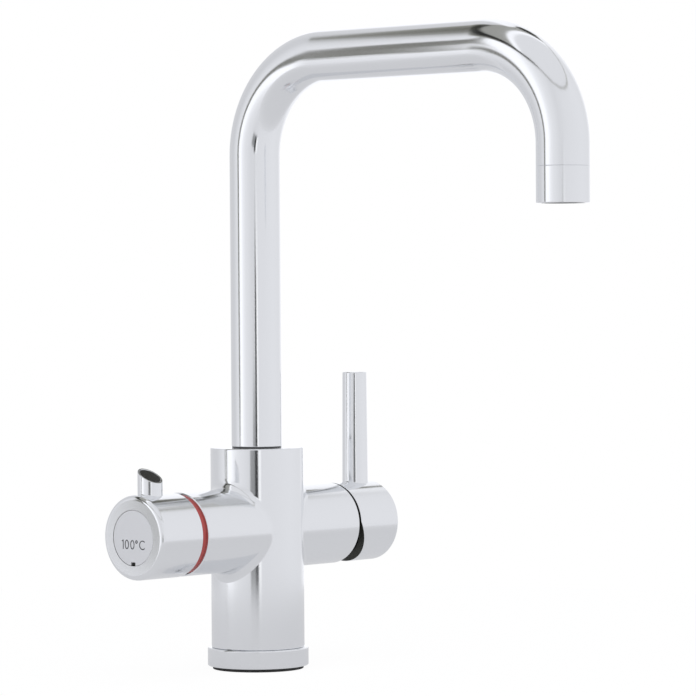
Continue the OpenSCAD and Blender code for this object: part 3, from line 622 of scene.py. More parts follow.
def blended_arm(barrel, arm, ball, reach, columns):
    """One arm, its blend and the barrel's wall round it, about the handle axis, towards +X.

    The ball's centre is at barrel + ball from the upright axis and arm + ball from the arm's:
    y = (arm + ball) cos t, z = (arm + ball) sin t, x = sqrt((barrel + ball)^2 - y^2). It touches
    the barrel towards (-x, -y, 0) and the arm towards (0, -cos t, -sin t).
    The barrel's wall runs from there to a rectangle of half a turn by twice the band.
    """
    t = columns[:, None]
    y, z = (arm + ball) * np.cos(t), (arm + ball) * np.sin(t)
    x = np.sqrt((barrel + ball) ** 2 - y**2)
    to_barrel = -np.concatenate([x, y, 0 * x], axis=1) / (barrel + ball)
    to_arm = np.concatenate([0 * t, -np.cos(t), -np.sin(t)], axis=1)
    blend = rolled(np.concatenate([x, y, z], axis=1), ball, to_barrel, to_arm, False, steps=18)
    skirt = np.concatenate([x, arm * np.cos(t), arm * np.sin(t)], axis=1)
    end = np.concatenate([0 * x + reach, arm * np.cos(t), arm * np.sin(t)], axis=1)
    v = np.linspace(0.0, 1.0, 13)[:, None]
    square = np.maximum(np.abs(np.cos(columns)), np.abs(np.sin(columns)))
    turn = (1 - v) * np.arctan2(y, x)[:, 0] + v * (pi / 2) * np.cos(columns) / square
    level = (1 - v) * z[:, 0] + v * band_of(arm, ball) * np.sin(columns) / square
    wall = np.stack([np.cos(turn), np.sin(turn), 0 * turn], axis=-1)
    return [blend, between(skirt, end, -to_arm), (barrel * wall + level[..., None] * UPWARD, wall)]


def band_of(arm, ball):
    """Half the height of the barrel's band round the arms: a little more than arm and ball."""
    return arm + ball + 1.2 * MM


def raised(surfaces, height, mirror=False):
    """Surfaces moved up, and mirrored left to right where asked."""
    flip = np.array([-1.0 if mirror else 1.0, 1.0, 1.0])
    return [(s[0] * flip + height * UPWARD, s[1] * flip, *s[2:]) for s in surfaces]


# Inside of the casting: radii, and distances from the body's axis or from the worktop.
NUT_BORE, CARTRIDGE_BORE, CARTRIDGE_RIM, CARTRIDGE_FLOOR = 20.1 * MM, 17.6 * MM, 54 * MM, 22 * MM
RING_SEAT, RING_BORE, VALVE_BORE = 18.1 * MM, 15 * MM, 10.1 * MM
VALVE_SHOULDER, VALVE_FLOOR = 53 * MM, 34 * MM
BUSH_BORE, SPIGOT_BORE, WATERWAY, SCREW_HOLE = 13.2 * MM, 12 * MM, 3.55 * MM, 2.5 * MM
BUSH_FLOOR, SPIGOT_FLOOR, WATERWAY_FLOOR = 115 * MM, 99 * MM, 91 * MM
# Three supply ports and two stud holes, as (x, y, radius, depth).
UNDERSIDE_HOLES = MM * np.array(
    [(8, 8, 5, 14), (8, -8, 5, 14), (-11, 0, 5, 14), (0, 17, 3, 18), (0, -17, 3, 18)]
)


def casting_surfaces(size):
    """Cast body: two blended arms and their seats, the barrel and its bore, the drilled foot."""
    barrel, arm, ball = size.width / 2, size.arm_width / 2, size.blend
    columns = full_turn(AROUND_ARM)
    neck = barrel + ball + 8 * MM  # the arm's wall changes surface here
    one_side = blended_arm(barrel, arm, ball, neck, columns)
    surfaces = raised(one_side, size.axis_height) + raised(one_side, size.axis_height, True)

    mixer_rim = [
        (arm, neck, 0),
        (arm, size.mixer_arm, size.edge),
        (arm - size.edge, size.mixer_arm, 0),
    ]
    seat = [(NUT_BORE, CARTRIDGE_RIM, 0), (CARTRIDGE_BORE, CARTRIDGE_FLOOR, 0)]
    # Painted shade: the mixer arm's end face and the seat inside it, seen in the gap under the
    # cap, render near black.
    mixer_end = [(arm - size.edge, size.mixer_arm, 0)]
    mixer_end += stepped(size.mixer_arm, seat, 0.3 * MM) + [(0, CARTRIDGE_FLOOR, 0)]
    seat = [
        (RING_SEAT, size.boiling_arm - 6 * MM, 0),
        (RING_BORE, VALVE_SHOULDER, 0),
        (VALVE_BORE, VALVE_FLOOR, 0),
    ]
    boiling_end = [(arm, neck, 0), (arm, size.boiling_arm, size.edge)]
    boiling_end += stepped(size.boiling_arm, seat, 0.2 * MM) + [(0, VALVE_FLOOR, 0)]
    on_axis = size.axis_height * UPWARD
    towards_mixer = place(on_axis, SIDEWAYS, BACKWARD, UPWARD)
    surfaces += turned(mixer_rim, towards_mixer, columns)
    surfaces += turned(boiling_end, place(on_axis, -SIDEWAYS, BACKWARD, UPWARD), columns)

    # The barrel above and below the band has the band's own columns: those of its upper edge.
    eighth = AROUND_ARM // 8
    front = (pi / 2) / np.tan(columns[eighth : 3 * eighth + 1])
    around = np.concatenate([front[::-1], pi - front[1:]])
    low, high = (size.axis_height + side * band_of(arm, ball) for side in (-1, 1))
    shoulder = size.height - 2 * size.edge
    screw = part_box("spout_grub_screw")
    level = (screw[0].z + screw[1].z) / 2
    upright = place()
    # Four columns either side of the rear one make the window for the spout's grub screw.
    first, last = 2 * eighth - 4, 2 * eighth + 4
    window = slice(first, last + 1)
    plain = np.array([[barrel, high], [barrel, shoulder]]), np.array([[1.0, 0.0]] * 2)
    wall, normals = spun([plain], around, upright)[0]
    surfaces += [(wall[: first + 1], normals[: first + 1]), (wall[last:], normals[last:])]
    if level - SCREW_HOLE > high:
        hole = (pi / 2, level, SCREW_HOLE)
        levels = (high, shoulder)
        surfaces += pierced(barrel, around[window], levels, hole, BUSH_BORE, upright)
    else:
        surfaces.append((wall[window], normals[window]))
    bore = [
        (BUSH_BORE, BUSH_FLOOR, 0),
        (SPIGOT_BORE, SPIGOT_FLOOR, 0),
        (WATERWAY, WATERWAY_FLOOR, 0),
    ]
    top = [(barrel, shoulder, 0), (barrel, size.height, size.edge)]
    top += stepped(size.height, bore) + [(0, WATERWAY_FLOOR, 0)]
    surfaces += turned(top, upright, around)
    foot = size.foot_width / 2
    skirt = [
        (foot, size.foot_gap, 0),
        (foot, size.ring_top, 0),
        (barrel, size.ring_top, size.edge),
        (barrel, low, 0),
    ]
    surfaces += turned(skirt, upright, around)

    circle = full_turn(AROUND_HOLE)[:-1, None]
    circle = np.concatenate([np.cos(circle), np.sin(circle)], axis=1)
    rim = np.stack([np.cos(around[:-1]), np.sin(around[:-1])], axis=1) * foot
    loops = [rim] + [circle * radius + (x, y) for x, y, radius, _ in UNDERSIDE_HOLES]
    lift = lambda loop: np.append(loop, np.full((len(loop), 1), size.foot_gap), axis=1)
    surfaces.append(plate([(loop, lift(loop)) for loop in loops], -UPWARD))
    for x, y, radius, depth in UNDERSIDE_HOLES:
        hole = [(0, depth, 0), (radius, depth, 0), (radius, 0, 0)]
        surfaces += turned(hole, place((x, y, size.foot_gap)), full_turn(AROUND_HOLE))
    return {"chrome": surfaces, "bare_inside": turned(mixer_end, towards_mixer, columns)}


class TAP_OT_body(bpy.types.Operator):
    """Make the cast body, the base ring and the gasket"""

    bl_idname = "tap.body"
    bl_label = "Body and base"

    def execute(self, context):
        size = context.scene.tap_body
        solid("casting", "casting", "chrome", casting_surfaces(size), "body_casting")

        ring, bore = size.ring_width / 2, size.foot_width / 2 + 0.1 * MM
        seat = size.gasket_width / 2 + 0.1 * MM
        middle = (size.ring_bottom + size.ring_top) / 2
        profile = [
            (ring, middle, 0),
            (ring, size.ring_top, size.ring_edge),
            (bore, size.ring_top, 0.2 * MM),
            (bore, size.foot_gap, 0),
            (seat, size.foot_gap, 0),
            (seat, size.ring_bottom, 0),
            (ring, size.ring_bottom, size.ring_edge),
            (ring, middle, 0),
        ]
        solid("collar", "casting", "chrome", turned(profile, place()), "base_ring")

        outer, inner, thick = size.gasket_width / 2, size.gasket_bore / 2, size.foot_gap
        profile = [
            (outer, thick / 2, 0),
            (outer, thick, 0.15 * MM),
            (inner, thick, 0.15 * MM),
            (inner, 0, 0.15 * MM),
            (outer, 0, 0.3 * MM),
            (outer, thick / 2, 0),
        ]
        solid("gasket", "casting", "black_rubber", turned(profile, place()), "base_gasket")
        return {"FINISHED"}


# ---- Spout ------------------------------------------------------------------------------------


def spout_surfaces(size):
    """Tube along its path: up, a quarter bend, level, a quarter bend, down.

    In a bend the path is at (y, z) = centre + bend (cos a, sin a), and the direction
    (cos a, sin a) that leads away from the centre carries the section.
    """
    spring = size.height - size.bend
    outlet = spring - size.drop
    joint = 5 * MM
    a = np.concatenate([[0.0], np.linspace(0, pi / 2, 49), np.linspace(pi / 2, pi, 49), [pi]])
    outward = np.stack([0 * a, np.cos(a), np.sin(a)], axis=1)
    centre = np.zeros((len(a), 3))
    centre[:, 1] = np.where(np.arange(len(a)) < len(a) // 2, -size.bend, size.bend - size.reach)
    centre[:, 2] = spring
    path = centre + size.bend * outward
    path[0, 2] = size.foot + joint
    path[-1, 2] = outlet + joint
    outer, inner = size.tube / 2, size.tube / 2 - size.wall
    rim = [(inner, joint, 0), (inner, 0, 0.15 * MM), (outer, 0, 0.3 * MM), (outer, joint, 0)]
    lower = turned(rim, place((0, 0, size.foot), UPWARD, SIDEWAYS, BACKWARD))
    away = place((0, -size.reach, outlet), UPWARD, SIDEWAYS, -BACKWARD)
    walls = [tube(path, outward, outer), tube(path, outward, inner, True)]
    return walls + lower + turned(rim, away)


class TAP_OT_spout(bpy.types.Operator):
    """Make the spout tube and its outlet sleeve"""

    bl_idname = "tap.spout"
    bl_label = "Spout"

    def execute(self, context):
        size = context.scene.tap_spout
        solid("spout", "spout", "chrome", spout_surfaces(size), "spout_tube")

        outer, inner, mouth = size.tube / 2, size.tube / 2 - size.wall, size.mouth / 2
        painted_shade_edge = outer - 2.6 * MM
        plated = [
            (painted_shade_edge, 0, 0),
            (outer, 0, 0.5 * MM),
            (outer, size.sleeve, 0.25 * MM),
            (inner, size.sleeve, 0),
        ]
        # Painted shade: the sleeve's inner wall, its lip and the inner part of its bottom face
        # render near black, for the shade in the outlet's opening.
        inside = stepped(size.sleeve, [(inner, size.lip, 0), (mouth, 0, 0.3 * MM)])
        inside.append((painted_shade_edge, 0, 0))
        bottom = size.height - size.bend - size.drop - size.sleeve
        outlet = place((0, -size.reach, bottom))
        finished = {"chrome": turned(plated, outlet), "bare_inside": turned(inside, outlet)}
        solid("sleeve", "spout", "chrome", finished, "outlet_sleeve")
        return {"FINISHED"}


# ---- Boiling knob -----------------------------------------------------------------------------


def rod_surfaces(foot, tip, top, where, host=None, low=0.0, slant=0.0, edge=0.3 * MM, seat=None):
    """Round rod with a flat top sloped by slant, on the plane z = top + y tan(slant).

    It stands on a cylinder of radius host and reaches sunk below its surface, or without one it
    ends on a plane like its top at low. All roundings are a ball's: at the foot its centre is at
    foot + fillet from the rod's axis and host + fillet from the host's, at the top it is edge
    inside the wall and edge below the plane. A seat (radius, depth) is sunk into the top.
    """
    origin, axis, across, up = where
    t = full_turn()[:, None]
    round_out = np.concatenate([np.cos(t), np.sin(t), 0 * t], axis=1)
    level_out = np.broadcast_to([0.0, -sin(slant), cos(slant)], round_out.shape)

    def ring(radius, level, depth=0.0):
        """Round line on the sloped plane that lies depth below the one of this level."""
        spots = radius * round_out
        return spots + (level - depth / cos(slant) + spots[:, 1:2] * tan(slant)) * UPWARD

    if host:
        fillet, sunk = 0.4 * MM, 0.05 * MM
        ball = (foot + fillet) * round_out
        ball = ball + np.sqrt((host + fillet) ** 2 - ball[:, 1:2] ** 2) * UPWARD
        ground = unit(ball * (0.0, 1.0, 1.0))
        skirt = rolled(ball, fillet, -ground, -round_out, False)
        start, border = skirt[0][-1], skirt[0][0] - sunk * ground
        v = np.linspace(0.0, 1.0, 9)[:, None, None]
        end = (1 - v) * border + v * (host - sunk) * UPWARD
        end[..., 2] = np.sqrt((host - sunk) ** 2 - end[..., 1] ** 2)
        end = end, -unit(end * (0.0, 1.0, 1.0))
        surfaces = [skirt, between(skirt[0][0], border, round_out), end]
    else:
        start = ring(foot, low)
        surfaces = [between(start, ring(0.0, low), -level_out)]
    crown = rolled(ring(tip - edge, top, edge), edge, round_out, level_out)
    surfaces += [between(start, crown[0][0], round_out), crown]
    rim, depth = crown[0][-1], 0.0
    if seat:
        radius, depth = seat
        lip = ring(radius + edge / 2, top, edge / 2)
        lip = rolled(lip, edge / 2, level_out, -round_out, steps=4)
        floor = ring(radius, top, depth)
        surfaces += [between(rim, lip[0][0], level_out), lip]
        surfaces.append(between(lip[0][-1], floor, -round_out))
        rim = floor
    surfaces.append(between(rim, ring(0.0, top, depth), level_out))
    turn = np.stack([across, up, axis])
    return [(origin + points @ turn, normals @ turn) for points, normals in surfaces]


def notched_disc(radius, notch_width, notch_depth):
    """Outline of a disc with a notch at its foot: an arc and the notch's three rounded lines."""
    half = notch_width / 2
    reach = np.sqrt(radius**2 - half**2)
    cut = asin(half / radius)
    t = np.linspace(cut - pi / 2, 3 * pi / 2 - cut, AROUND + 1)
    arc = np.stack([np.cos(t), np.sin(t)], axis=1)
    notch = [
        (-half, -reach, 0),
        (-half, notch_depth - radius, 0.5 * MM),
        (half, notch_depth - radius, 0.5 * MM),
        (half, -reach, 0),
    ]
    return [(arc * radius, arc)] + rounded(notch)


def stroke(path, width, height, where, closed=False):
    """Printed line: a flat ribbon, path + w side + h axis, whose section is a thin rectangle."""
    origin, axis = where[:2]
    ahead = np.gradient(path, axis=0)
    if closed:
        ahead[[0, -1]] = path[1] - path[-2]
    ahead = unit(ahead)
    side = np.stack([ahead[:, 1], -ahead[:, 0]], axis=1)
    corners = [(1, 0), (1, 1), (-1, 1), (-1, 0), (1, 0)]
    lines = [
        origin + laid(path + side * width / 2 * a, where) + b * height * axis for a, b in corners
    ]
    aside, upright = laid(side, where), np.broadcast_to(axis, lines[0].shape)
    outs = [aside, upright, -aside, -upright]
    surfaces = [between(p, q, n) for p, q, n in zip(lines, lines[1:], outs)]
    if not closed:
        for end, way in ((0, -1.0), (-1, 1.0)):
            rim = np.stack([line[end] for line in lines])
            facing = np.broadcast_to(way * laid(ahead, where)[end], rim[:2].shape)
            surfaces.append(between(rim[:2], rim[3:1:-1], facing))
    return surfaces


def temperature_mark(where, height, line, proud):
    """The boiling point of water as thin printed lines, 100 and the sign for degrees.

    Each round figure is an ellipse, centre + (a cos t, b sin t), with a of its own; the last one
    is left open on its right.
    """
    half = (height - line) / 2
    t, gap = full_turn(48)[:, None], radians(46)
    ring = lambda t, a, b, x, y=0.0: np.concatenate([x + a * np.cos(t), y + b * np.sin(t)], axis=1)
    one = -7.6 * MM
    stem = np.linspace((one, -half - line / 2), (one, half + line / 2), 3)
    flag = np.linspace((one, half), (one - 1 * MM, half - 0.5 * MM), 3)
    letter = ring(np.linspace(gap, 2 * pi - gap, 40)[:, None], 2.25 * MM, half, 7.1 * MM)
    marks = [(stem, False), (flag, False), (letter, False)]
    degree = 0.65 * MM
    ovals = [(1.25 * MM, half, -4.85 * MM), (1.3 * MM, half, -0.65 * MM)]
    ovals.append((degree, degree, 2.5 * MM, half - degree))
    marks += [(ring(t, *oval), True) for oval in ovals]
    return [s for path, closed in marks for s in stroke(path, line, proud, where, closed)]


# Radii inside the red ring and the knob.
RING_SPIGOT, HEAD_BORE, SHANK_BORE, SOCKET, BOSS = 18 * MM, 4.5 * MM, 2.1 * MM, 4.2 * MM, 8.5 * MM
# Depth below the disc's seat, depths below the knob's face, and heights above its back.
HEAD_ROOM = 6.65 * MM
SOCKET_END, KNOB_FACE = 11.4 * MM, 5 * MM
BOSS_START, RIM_DEPTH = 6 * MM, 7 * MM
# Distances inwards from the knob's side; the last is where the painted shade on its back face
# begins.
KNOB_WALL, RIM_WALL, PAINTED_SHADE_EDGE = 3.4 * MM, 1.15 * MM, 1 * MM


class TAP_OT_boiling_knob(bpy.types.Operator):
    """Make the red ring, the boiling knob with its index disc, and the grip post with its pad"""

    bl_idname = "tap.boiling_knob"
    bl_label = "Boiling knob"

    def execute(self, context):
        size, body = context.scene.tap_knob, context.scene.tap_body
        on_axis = body.axis_height * UPWARD
        outward = place(on_axis, -SIDEWAYS, BACKWARD, UPWARD)
        arm_end = body.boiling_arm
        back = arm_end + size.slot
        face = back + size.depth
        knob, red = size.width / 2, size.red_width / 2
        low = arm_end - 5.9 * MM
        profile = [
            (RING_BORE, low, 0),
            (RING_SPIGOT, low, 0),
            (RING_SPIGOT, arm_end + 0.02 * MM, 0),
            (red, arm_end + 0.02 * MM, 0.2 * MM),
            (red, back - 0.25 * MM, 0.3 * MM),
            (RING_BORE, back - 0.25 * MM, 0.2 * MM),
            (RING_BORE, low, 0),
        ]
        solid("warning_ring", "casting", "red_plastic", turned(profile, outward), "red_ring")

        seat = size.disc_width / 2 + 0.12 * MM
        disc_face = face - size.disc_step
        seat_floor = disc_face - size.disc_depth
        shell = [
            (knob - PAINTED_SHADE_EDGE, back, 0),
            (knob, back, 0.35 * MM),
            (knob, face, size.face_edge),
            (seat, face, 0),
        ]
        steps = [
            (seat, seat_floor, 0),
            (HEAD_BORE, seat_floor - HEAD_ROOM, 0),
            (SHANK_BORE, face - SOCKET_END, 0),
            (SOCKET, back + BOSS_START, 0),
            (BOSS, face - KNOB_FACE, 0),
            (knob - KNOB_WALL, back + RIM_DEPTH, 0),
            (knob - RIM_WALL, back, 0.15 * MM),
        ]
        # Painted shade: the knob's hollow, its back face in from the edge and the walls of the
        # disc's seat render near black, for the shade in the slot and round the disc.
        inside = stepped(face, steps) + [(knob - PAINTED_SHADE_EDGE, back, 0)]
        finished = {"chrome": turned(shell, outward), "bare_inside": turned(inside, outward)}
        solid("knob", "boiling_handle", "chrome", finished, "boiling_knob")

        facing = place(on_axis, -SIDEWAYS, -BACKWARD, UPWARD)
        disc = size.disc_width / 2
        outline = notched_disc(disc - 0.08 * MM, size.notch_width, size.notch_depth)
        dial = prism(outline, seat_floor, disc_face, facing)
        solid("dial", "boiling_handle", "satin_chrome", dial, "index_disc")
        # Painted shade: a thin near-black plate on the floor of the disc's notch, for the shade in
        # that recess.
        half, notch_top = size.notch_width / 2 - 0.05 * MM, size.notch_depth - disc - 0.05 * MM
        outline = [
            (half, 1.2 * MM - disc, 0),
            (half, notch_top, 0.4 * MM),
            (-half, notch_top, 0.4 * MM),
            (-half, 0.15 * MM - disc, 0),
            (half, 0.15 * MM - disc, 0),
            (half, 1.2 * MM - disc, 0),
        ]
        low, high = seat_floor + 0.01 * MM, seat_floor + 0.5 * MM
        pointer = prism(rounded(outline), low, high, facing)
        solid("pointer", "boiling_handle", "black_plastic", {"bare_inside": pointer})

        spot = on_axis - disc_face * SIDEWAYS - 3.55 * MM * UPWARD
        mark_place = place(spot, -SIDEWAYS, -BACKWARD, UPWARD)
        mark = temperature_mark(mark_place, 5.05 * MM, 0.55 * MM, 0.03 * MM)
        solid("temperature_mark", "boiling_handle", "black_plastic", {"printed_mark": mark})

        post = place(on_axis - (face - size.post_place) * SIDEWAYS)
        radius, top, slant = size.post / 2, size.post_height, size.post_slant
        seat = radius - size.pad_rim, size.pad_depth * cos(slant)
        grip = rod_surfaces(radius, radius, top, post, host=knob, slant=slant, seat=seat)
        solid("grip", "boiling_handle", "chrome", grip, "grip_post")
        low, high = top - size.pad_depth + 0.01 * MM, top - 0.1 * MM
        wide = seat[0] - 0.05 * MM
        pad = rod_surfaces(wide, wide, high, post, low=low, slant=slant, edge=0.25 * MM)
        solid("grip_pad", "boiling_handle", "black_plastic", {"glossy_black": pad}, "post_pad")
        return {"FINISHED"}


# ---- Mixer handle -----------------------------------------------------------------------------


def cap_surfaces(size, axis_height):
    """Cup whose rim is upright above a crease and sloped below it, every edge rolled by a ball.

    The centre of the ball, whose radius is f, stays f inside the rim: x = back + f + max(0,
    crease - z) tan(cut), where the crease lies at cut_start + f tan(cut / 2). Columns run from
    the foot of the cap up over the near side, with the rim's direction turning from sloped to
    upright at each crease.
    """
    outer, inner = size.width / 2, size.width / 2 - size.wall
    ball, cut = 0.25 * MM, size.cut
    crease = size.cut_start + ball * tan(cut / 2)
    turning = np.linspace(0.0, 1.0, 6)[1:-1]
    sloped, upright = np.full(49, cut), np.zeros(97)
    tilt = np.concatenate([sloped, cut * (1 - turning), upright, cut * turning, sloped])

    def columns(radius):
        """Angles of the columns, with four more at either crease for the rim's turning."""
        bend = asin(crease / radius)
        near, over = np.linspace(-pi / 2, bend, 49), np.linspace(bend, pi - bend, 97)
        far = np.linspace(pi - bend, 3 * pi / 2, 49)
        return np.concatenate([near, np.full(4, bend), over, np.full(4, pi - bend), far])

    def centres(radius):
        turn = columns(radius)
        y, z = radius * np.cos(turn), radius * np.sin(turn)
        x = size.back + ball + np.maximum(0.0, crease - z) * tan(cut)
        return np.stack([x, y, z], axis=1)

    def away(radius):
        turn = columns(radius)
        return np.stack([0 * turn, np.cos(turn), np.sin(turn)], axis=1)

    rim_out = np.stack([-np.cos(tilt), 0 * tilt, -np.sin(tilt)], axis=1)
    outside, inside = outer - ball, inner + ball
    outer_edge = rolled(centres(outside), ball, rim_out, away(outside))
    inner_edge = rolled(centres(inside), ball, rim_out, -away(inside))
    start, end, hollow_end = 77 * MM, size.face - 1.2 * MM, size.face - 6 * MM

    def ring_at(radius, x, where):
        return radius * away(where) + x * SIDEWAYS

    side, near_side = away(outside), ring_at(outer, start, outside)
    surfaces = [outer_edge, between(outer_edge[0][-1], near_side, side)]
    # Painted shade: the rim's face, its inner edge, the inner wall and the hollow render near
    # black, for the shade in the gap between cap and arm.
    painted_rim_shade = [
        inner_edge,
        between(outer_edge[0][0], inner_edge[0][0], rim_out),
        between(inner_edge[0][-1], ring_at(inner, hollow_end, inside), -away(inside)),
    ]
    along = place((0, 0, 0), SIDEWAYS, BACKWARD, UPWARD)
    turns = columns(outside)
    # A window of 14 degrees to either side of the rear has the hole for the cap's grub screw.
    rear = np.flatnonzero(np.abs(turns) < radians(14))
    first, last = rear[0], rear[-1]
    wall, normals = between(near_side, ring_at(outer, end, outside), side)
    surfaces.append((wall[:, : first + 1], normals[:, : first + 1]))
    surfaces.append((wall[:, last:], normals[:, last:]))
    window = np.unique(turns[first : last + 1])
    hole = (0.0, size.lever_place, SCREW_HOLE)
    surfaces += pierced(outer, window, (start, end), hole, 6 * MM, along)
    face = [(outer, end, 0), (outer, size.face, 0.8 * MM), (0, size.face, 0)]
    surfaces += turned(face, along, turns)
    boss, boss_end = 8.5 * MM, size.face - 19.1 * MM
    hollow = [
        (0, boss_end, 0),
        (boss, boss_end, 0.2 * MM),
        (boss, size.face - 3 * MM, 0),
        (inner, size.face - 3 * MM, 0.5 * MM),
        (inner, hollow_end, 0),
    ]
    painted_rim_shade += turned(hollow, along, columns(inside))
    return {"chrome": raised(surfaces, axis_height), "bare_inside": raised(painted_rim_shade, axis_height)}


class TAP_OT_mixer_handle(bpy.types.Operator):
    """Make the mixer cap and its lever"""

    bl_idname = "tap.mixer_handle"
    bl_label = "Mixer handle"

    def execute(self, context):
        size, axis_height = context.scene.tap_mixer, context.scene.tap_body.axis_height
        solid("cap", "mixer_handle", "chrome", cap_surfaces(size, axis_height), "mixer_cap")
        foot, tip, cap = size.lever_foot / 2, size.lever_tip / 2, size.width / 2
        stand = place((size.lever_place, 0, axis_height))
        lever = rod_surfaces(foot, tip, size.lever_length, stand, host=cap, edge=0.7 * MM)
        solid("lever", "mixer_handle", "chrome", lever, "mixer_lever")
        return {"FINISHED"}


# ---- Kept nodes -------------------------------------------------------------------------------


class TAP_OT_inner_finishes(bpy.types.Operator):
    """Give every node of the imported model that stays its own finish"""

    bl_idname = "tap.inner_finishes"
    bl_label = "Inner finishes"

    def execute(self, context):
        for name, nodes in KEPT_NODES.items():
            for node in nodes:
                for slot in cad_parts[node].material_slots:
                    slot.material = finish(name)
        return {"FINISHED"}


# ---- Stage ------------------------------------------------------------------------------------

CAMERA_PLACE = (-1.43795, -1.35406, 0.20951)
CAMERA_RIGHT = (0.66636, -0.74560, -0.00673)
CAMERA_UP = (0.01640, 0.00563, 0.99985)
CAMERA_AHEAD = (0.74545, 0.66637, -0.01598)
FOCAL_PIXELS = 3547.05
FRAME_PIXELS = 696
FLOOR_RADIUS = 0.56

# The studio, by the angle round the tap from the photograph's viewpoint, in degrees: the tone of
# its pale wall, and the lower edge, upper edge and darkest tone of the dark beam over the wall.
WALL = [
    (-180, 1.1),
    (-174, 1.08),
    (-168, 0.75),
    (-140, 0.7),
    (-115, 0.7),
    (-86, 0.88),
    (-78, 1.2),
    (-64, 1.15),
    (-58, 1),
    (-45, 0.88),
    (-14, 0.77),
    (18, 0.82),
    (90, 0.86),
    (135, 0.83),
    (150, 0.95),
    (180, 1.1),
]
BEAM = [
    (-180, 62, 63, 0.3),
    (-149, 61, 63, 0.2),
    (-143, 48.5, 62, 0.1),
    (-128, 47.5, 60, 0.03),
    (-110, 44.5, 54.5, 0.03),
    (-98, 39.5, 50, 0.02),
    (-87, 31, 45, 0.01),
    (-79, 32, 43, 0.01),
    (-58, 36, 41.5, 0.01),
    (-40, 41, 44.5, 0.04),
    (-25, 43, 44.5, 0.1),
    (100, 43, 44.5, 0.3),
    (150, 43, 44.5, 0.1),
    (154, 40, 50, 0.02),
    (161, 34, 53, 0.01),
    (168, 38, 52, 0.02),
    (171, 55, 58, 0.2),
    (180, 61, 62, 0.3),
]

# Glowing screens near the tap, seen only in mirrors as painted reflections of the studio: tone,
# distance, and their outline as (angle, bottom, top).
SCREENS = {
    "side_screen": (
        (0.2, 0.2, 0.18),
        1.5,
        [
            (-84.2, -0.05, 0.88),
            (-83.4, -0.05, 0.97),
            (-82.5, -0.05, 0.94),
            (-82.3, 0.09, 0.94),
            (-81.8, 0.09, 0.98),
            (-81, 0.09, 0.9),
            (-80, 0.09, 0.93),
            (-79.8, -0.05, 0.93),
            (-79, -0.05, 0.86),
            (-78.2, -0.05, 0.95),
            (-77.5, -0.05, 1.3),
            (-77, 0.1, 1.35),
            (-76.8, 0.45, 1.36),
            (-74.5, 0.6, 1.38),
        ],
    ),
    "pale_screen": (
        (1.15, 1.155, 1.17),
        2.1,
        [(-4, -0.3, 0.24), (4, -0.3, 0.3), (11, -0.3, 0.26)],
    ),
    "low_screen": (
        (0.3, 0.305, 0.31),
        2.05,
        [(-15, -0.3, 0.06), (-9, -0.3, 0.1), (0, -0.3, 0.1)],
    ),
    "camera_screen": (
        (0.0, 0.0, 0.0),
        2,
        [(-3, -0.3, 0.25), (1, -0.3, 0.28), (4.5, -0.3, 0.22)],
    ),
}


def screen(name, tone, distance, outline):
    """Upright panel of glowing tone round the tap, with an uneven edge, that only shows as a
    mirror image: a painted reflection.
    """

    def mirror_glow(board, colours):
        return board.glow(board.mottled(tone, 0.9, board.speckle(9.0, 3.0)))

    turn, low, high = np.array(outline, dtype=float).T
    turn = np.radians(turn)[:, None]
    way = np.sin(turn) * np.array(CAMERA_RIGHT) - np.cos(turn) * np.array(CAMERA_AHEAD)
    foot, top = way * distance, way * distance
    foot[:, 2], top[:, 2] = low, high
    rows = np.arange(len(turn) - 1)
    faces = np.stack([rows, rows + 1, rows + 1 + len(turn), rows + len(turn)], axis=1)
    mesh = bpy.data.meshes.new(name)
    mesh.from_pydata(np.concatenate([foot, top]), [], faces.tolist())
    mesh.materials.append(material(name, mirror_glow))
    made = bpy.data.objects.new(name, mesh)
    bpy.context.scene.collection.objects.link(made)
    made.visible_camera = made.visible_diffuse = made.visible_shadow = False


ROOF_PLANE = (0.664, 0.716, 0.214)  # to the right of the photograph, towards it and up


def studio_light(board):
    """Tone of the studio by direction: its wall, the dark beam over it, and the roof.

    The roof is pale on one side of a plane through the tap and grey on the other, with a bright
    strip along the border.
    """
    way = board.add("ShaderNodeTexCoord", output="Generated")
    x, y, z = board.parts("ShaderNodeSeparateXYZ", way)
    aside = x * CAMERA_RIGHT[0] + y * CAMERA_RIGHT[1]
    behind = 0 - (x * CAMERA_AHEAD[0] + y * CAMERA_AHEAD[1])
    around = aside.maths("ARCTAN2", aside, behind) / (2 * pi) + 0.5
    uneven = board.add("ShaderNodeTexNoise", {}, {"Vector": way, "Scale": 26.0, "Detail": 3.0})
    height = z.maths("ARCSINE", z) * (180 / pi) + (uneven - 0.5) * 2.0
    tint = lambda tone: (tone * 0.985, tone * 0.99, tone * 1.02)

    def by_turn(values):
        """Ramp over the angle round the tap, from (angle, colour) pairs."""
        stops = [(turn / 360 + 0.5, value) for turn, value in values]
        return board.add("ShaderNodeValToRGB", {"stops": stops}, {"Fac": around})

    wall = by_turn((turn, tint(tone)) for turn, tone in WALL)
    # The beam's colour holds its two edges, as shares of 90 degrees, and its tone.
    beam = by_turn((turn, (low / 90, high / 90, tone)) for turn, low, high, tone in BEAM)
    low, high, tone = board.parts("ShaderNodeSeparateColor", beam)
    low, high = low * 90, high * 90
    depth = (height - low) / (high - low + 0.01)
    tone = board.step(depth, 0.5, 0.15) * 0.2 + tone
    dark = board.add("ShaderNodeCombineColor", {}, {0: tone, 1: tone, 2: tone * 0.88})
    side = aside * ROOF_PLANE[0] + behind * ROOF_PLANE[1] + z * ROOF_PLANE[2]
    pale = board.blend(board.step(side, 0.04, 0.1), tint(1.15), tint(0.82))
    roof = board.blend(board.step(side, -0.045, -0.02), (0.36, 0.36, 0.34), pale)
    above = board.blend(board.step(height, high - 0.25, high + 0.25), dark, roof)
    return board.blend(board.step(height, low - 0.25, low + 0.25), wall, above)


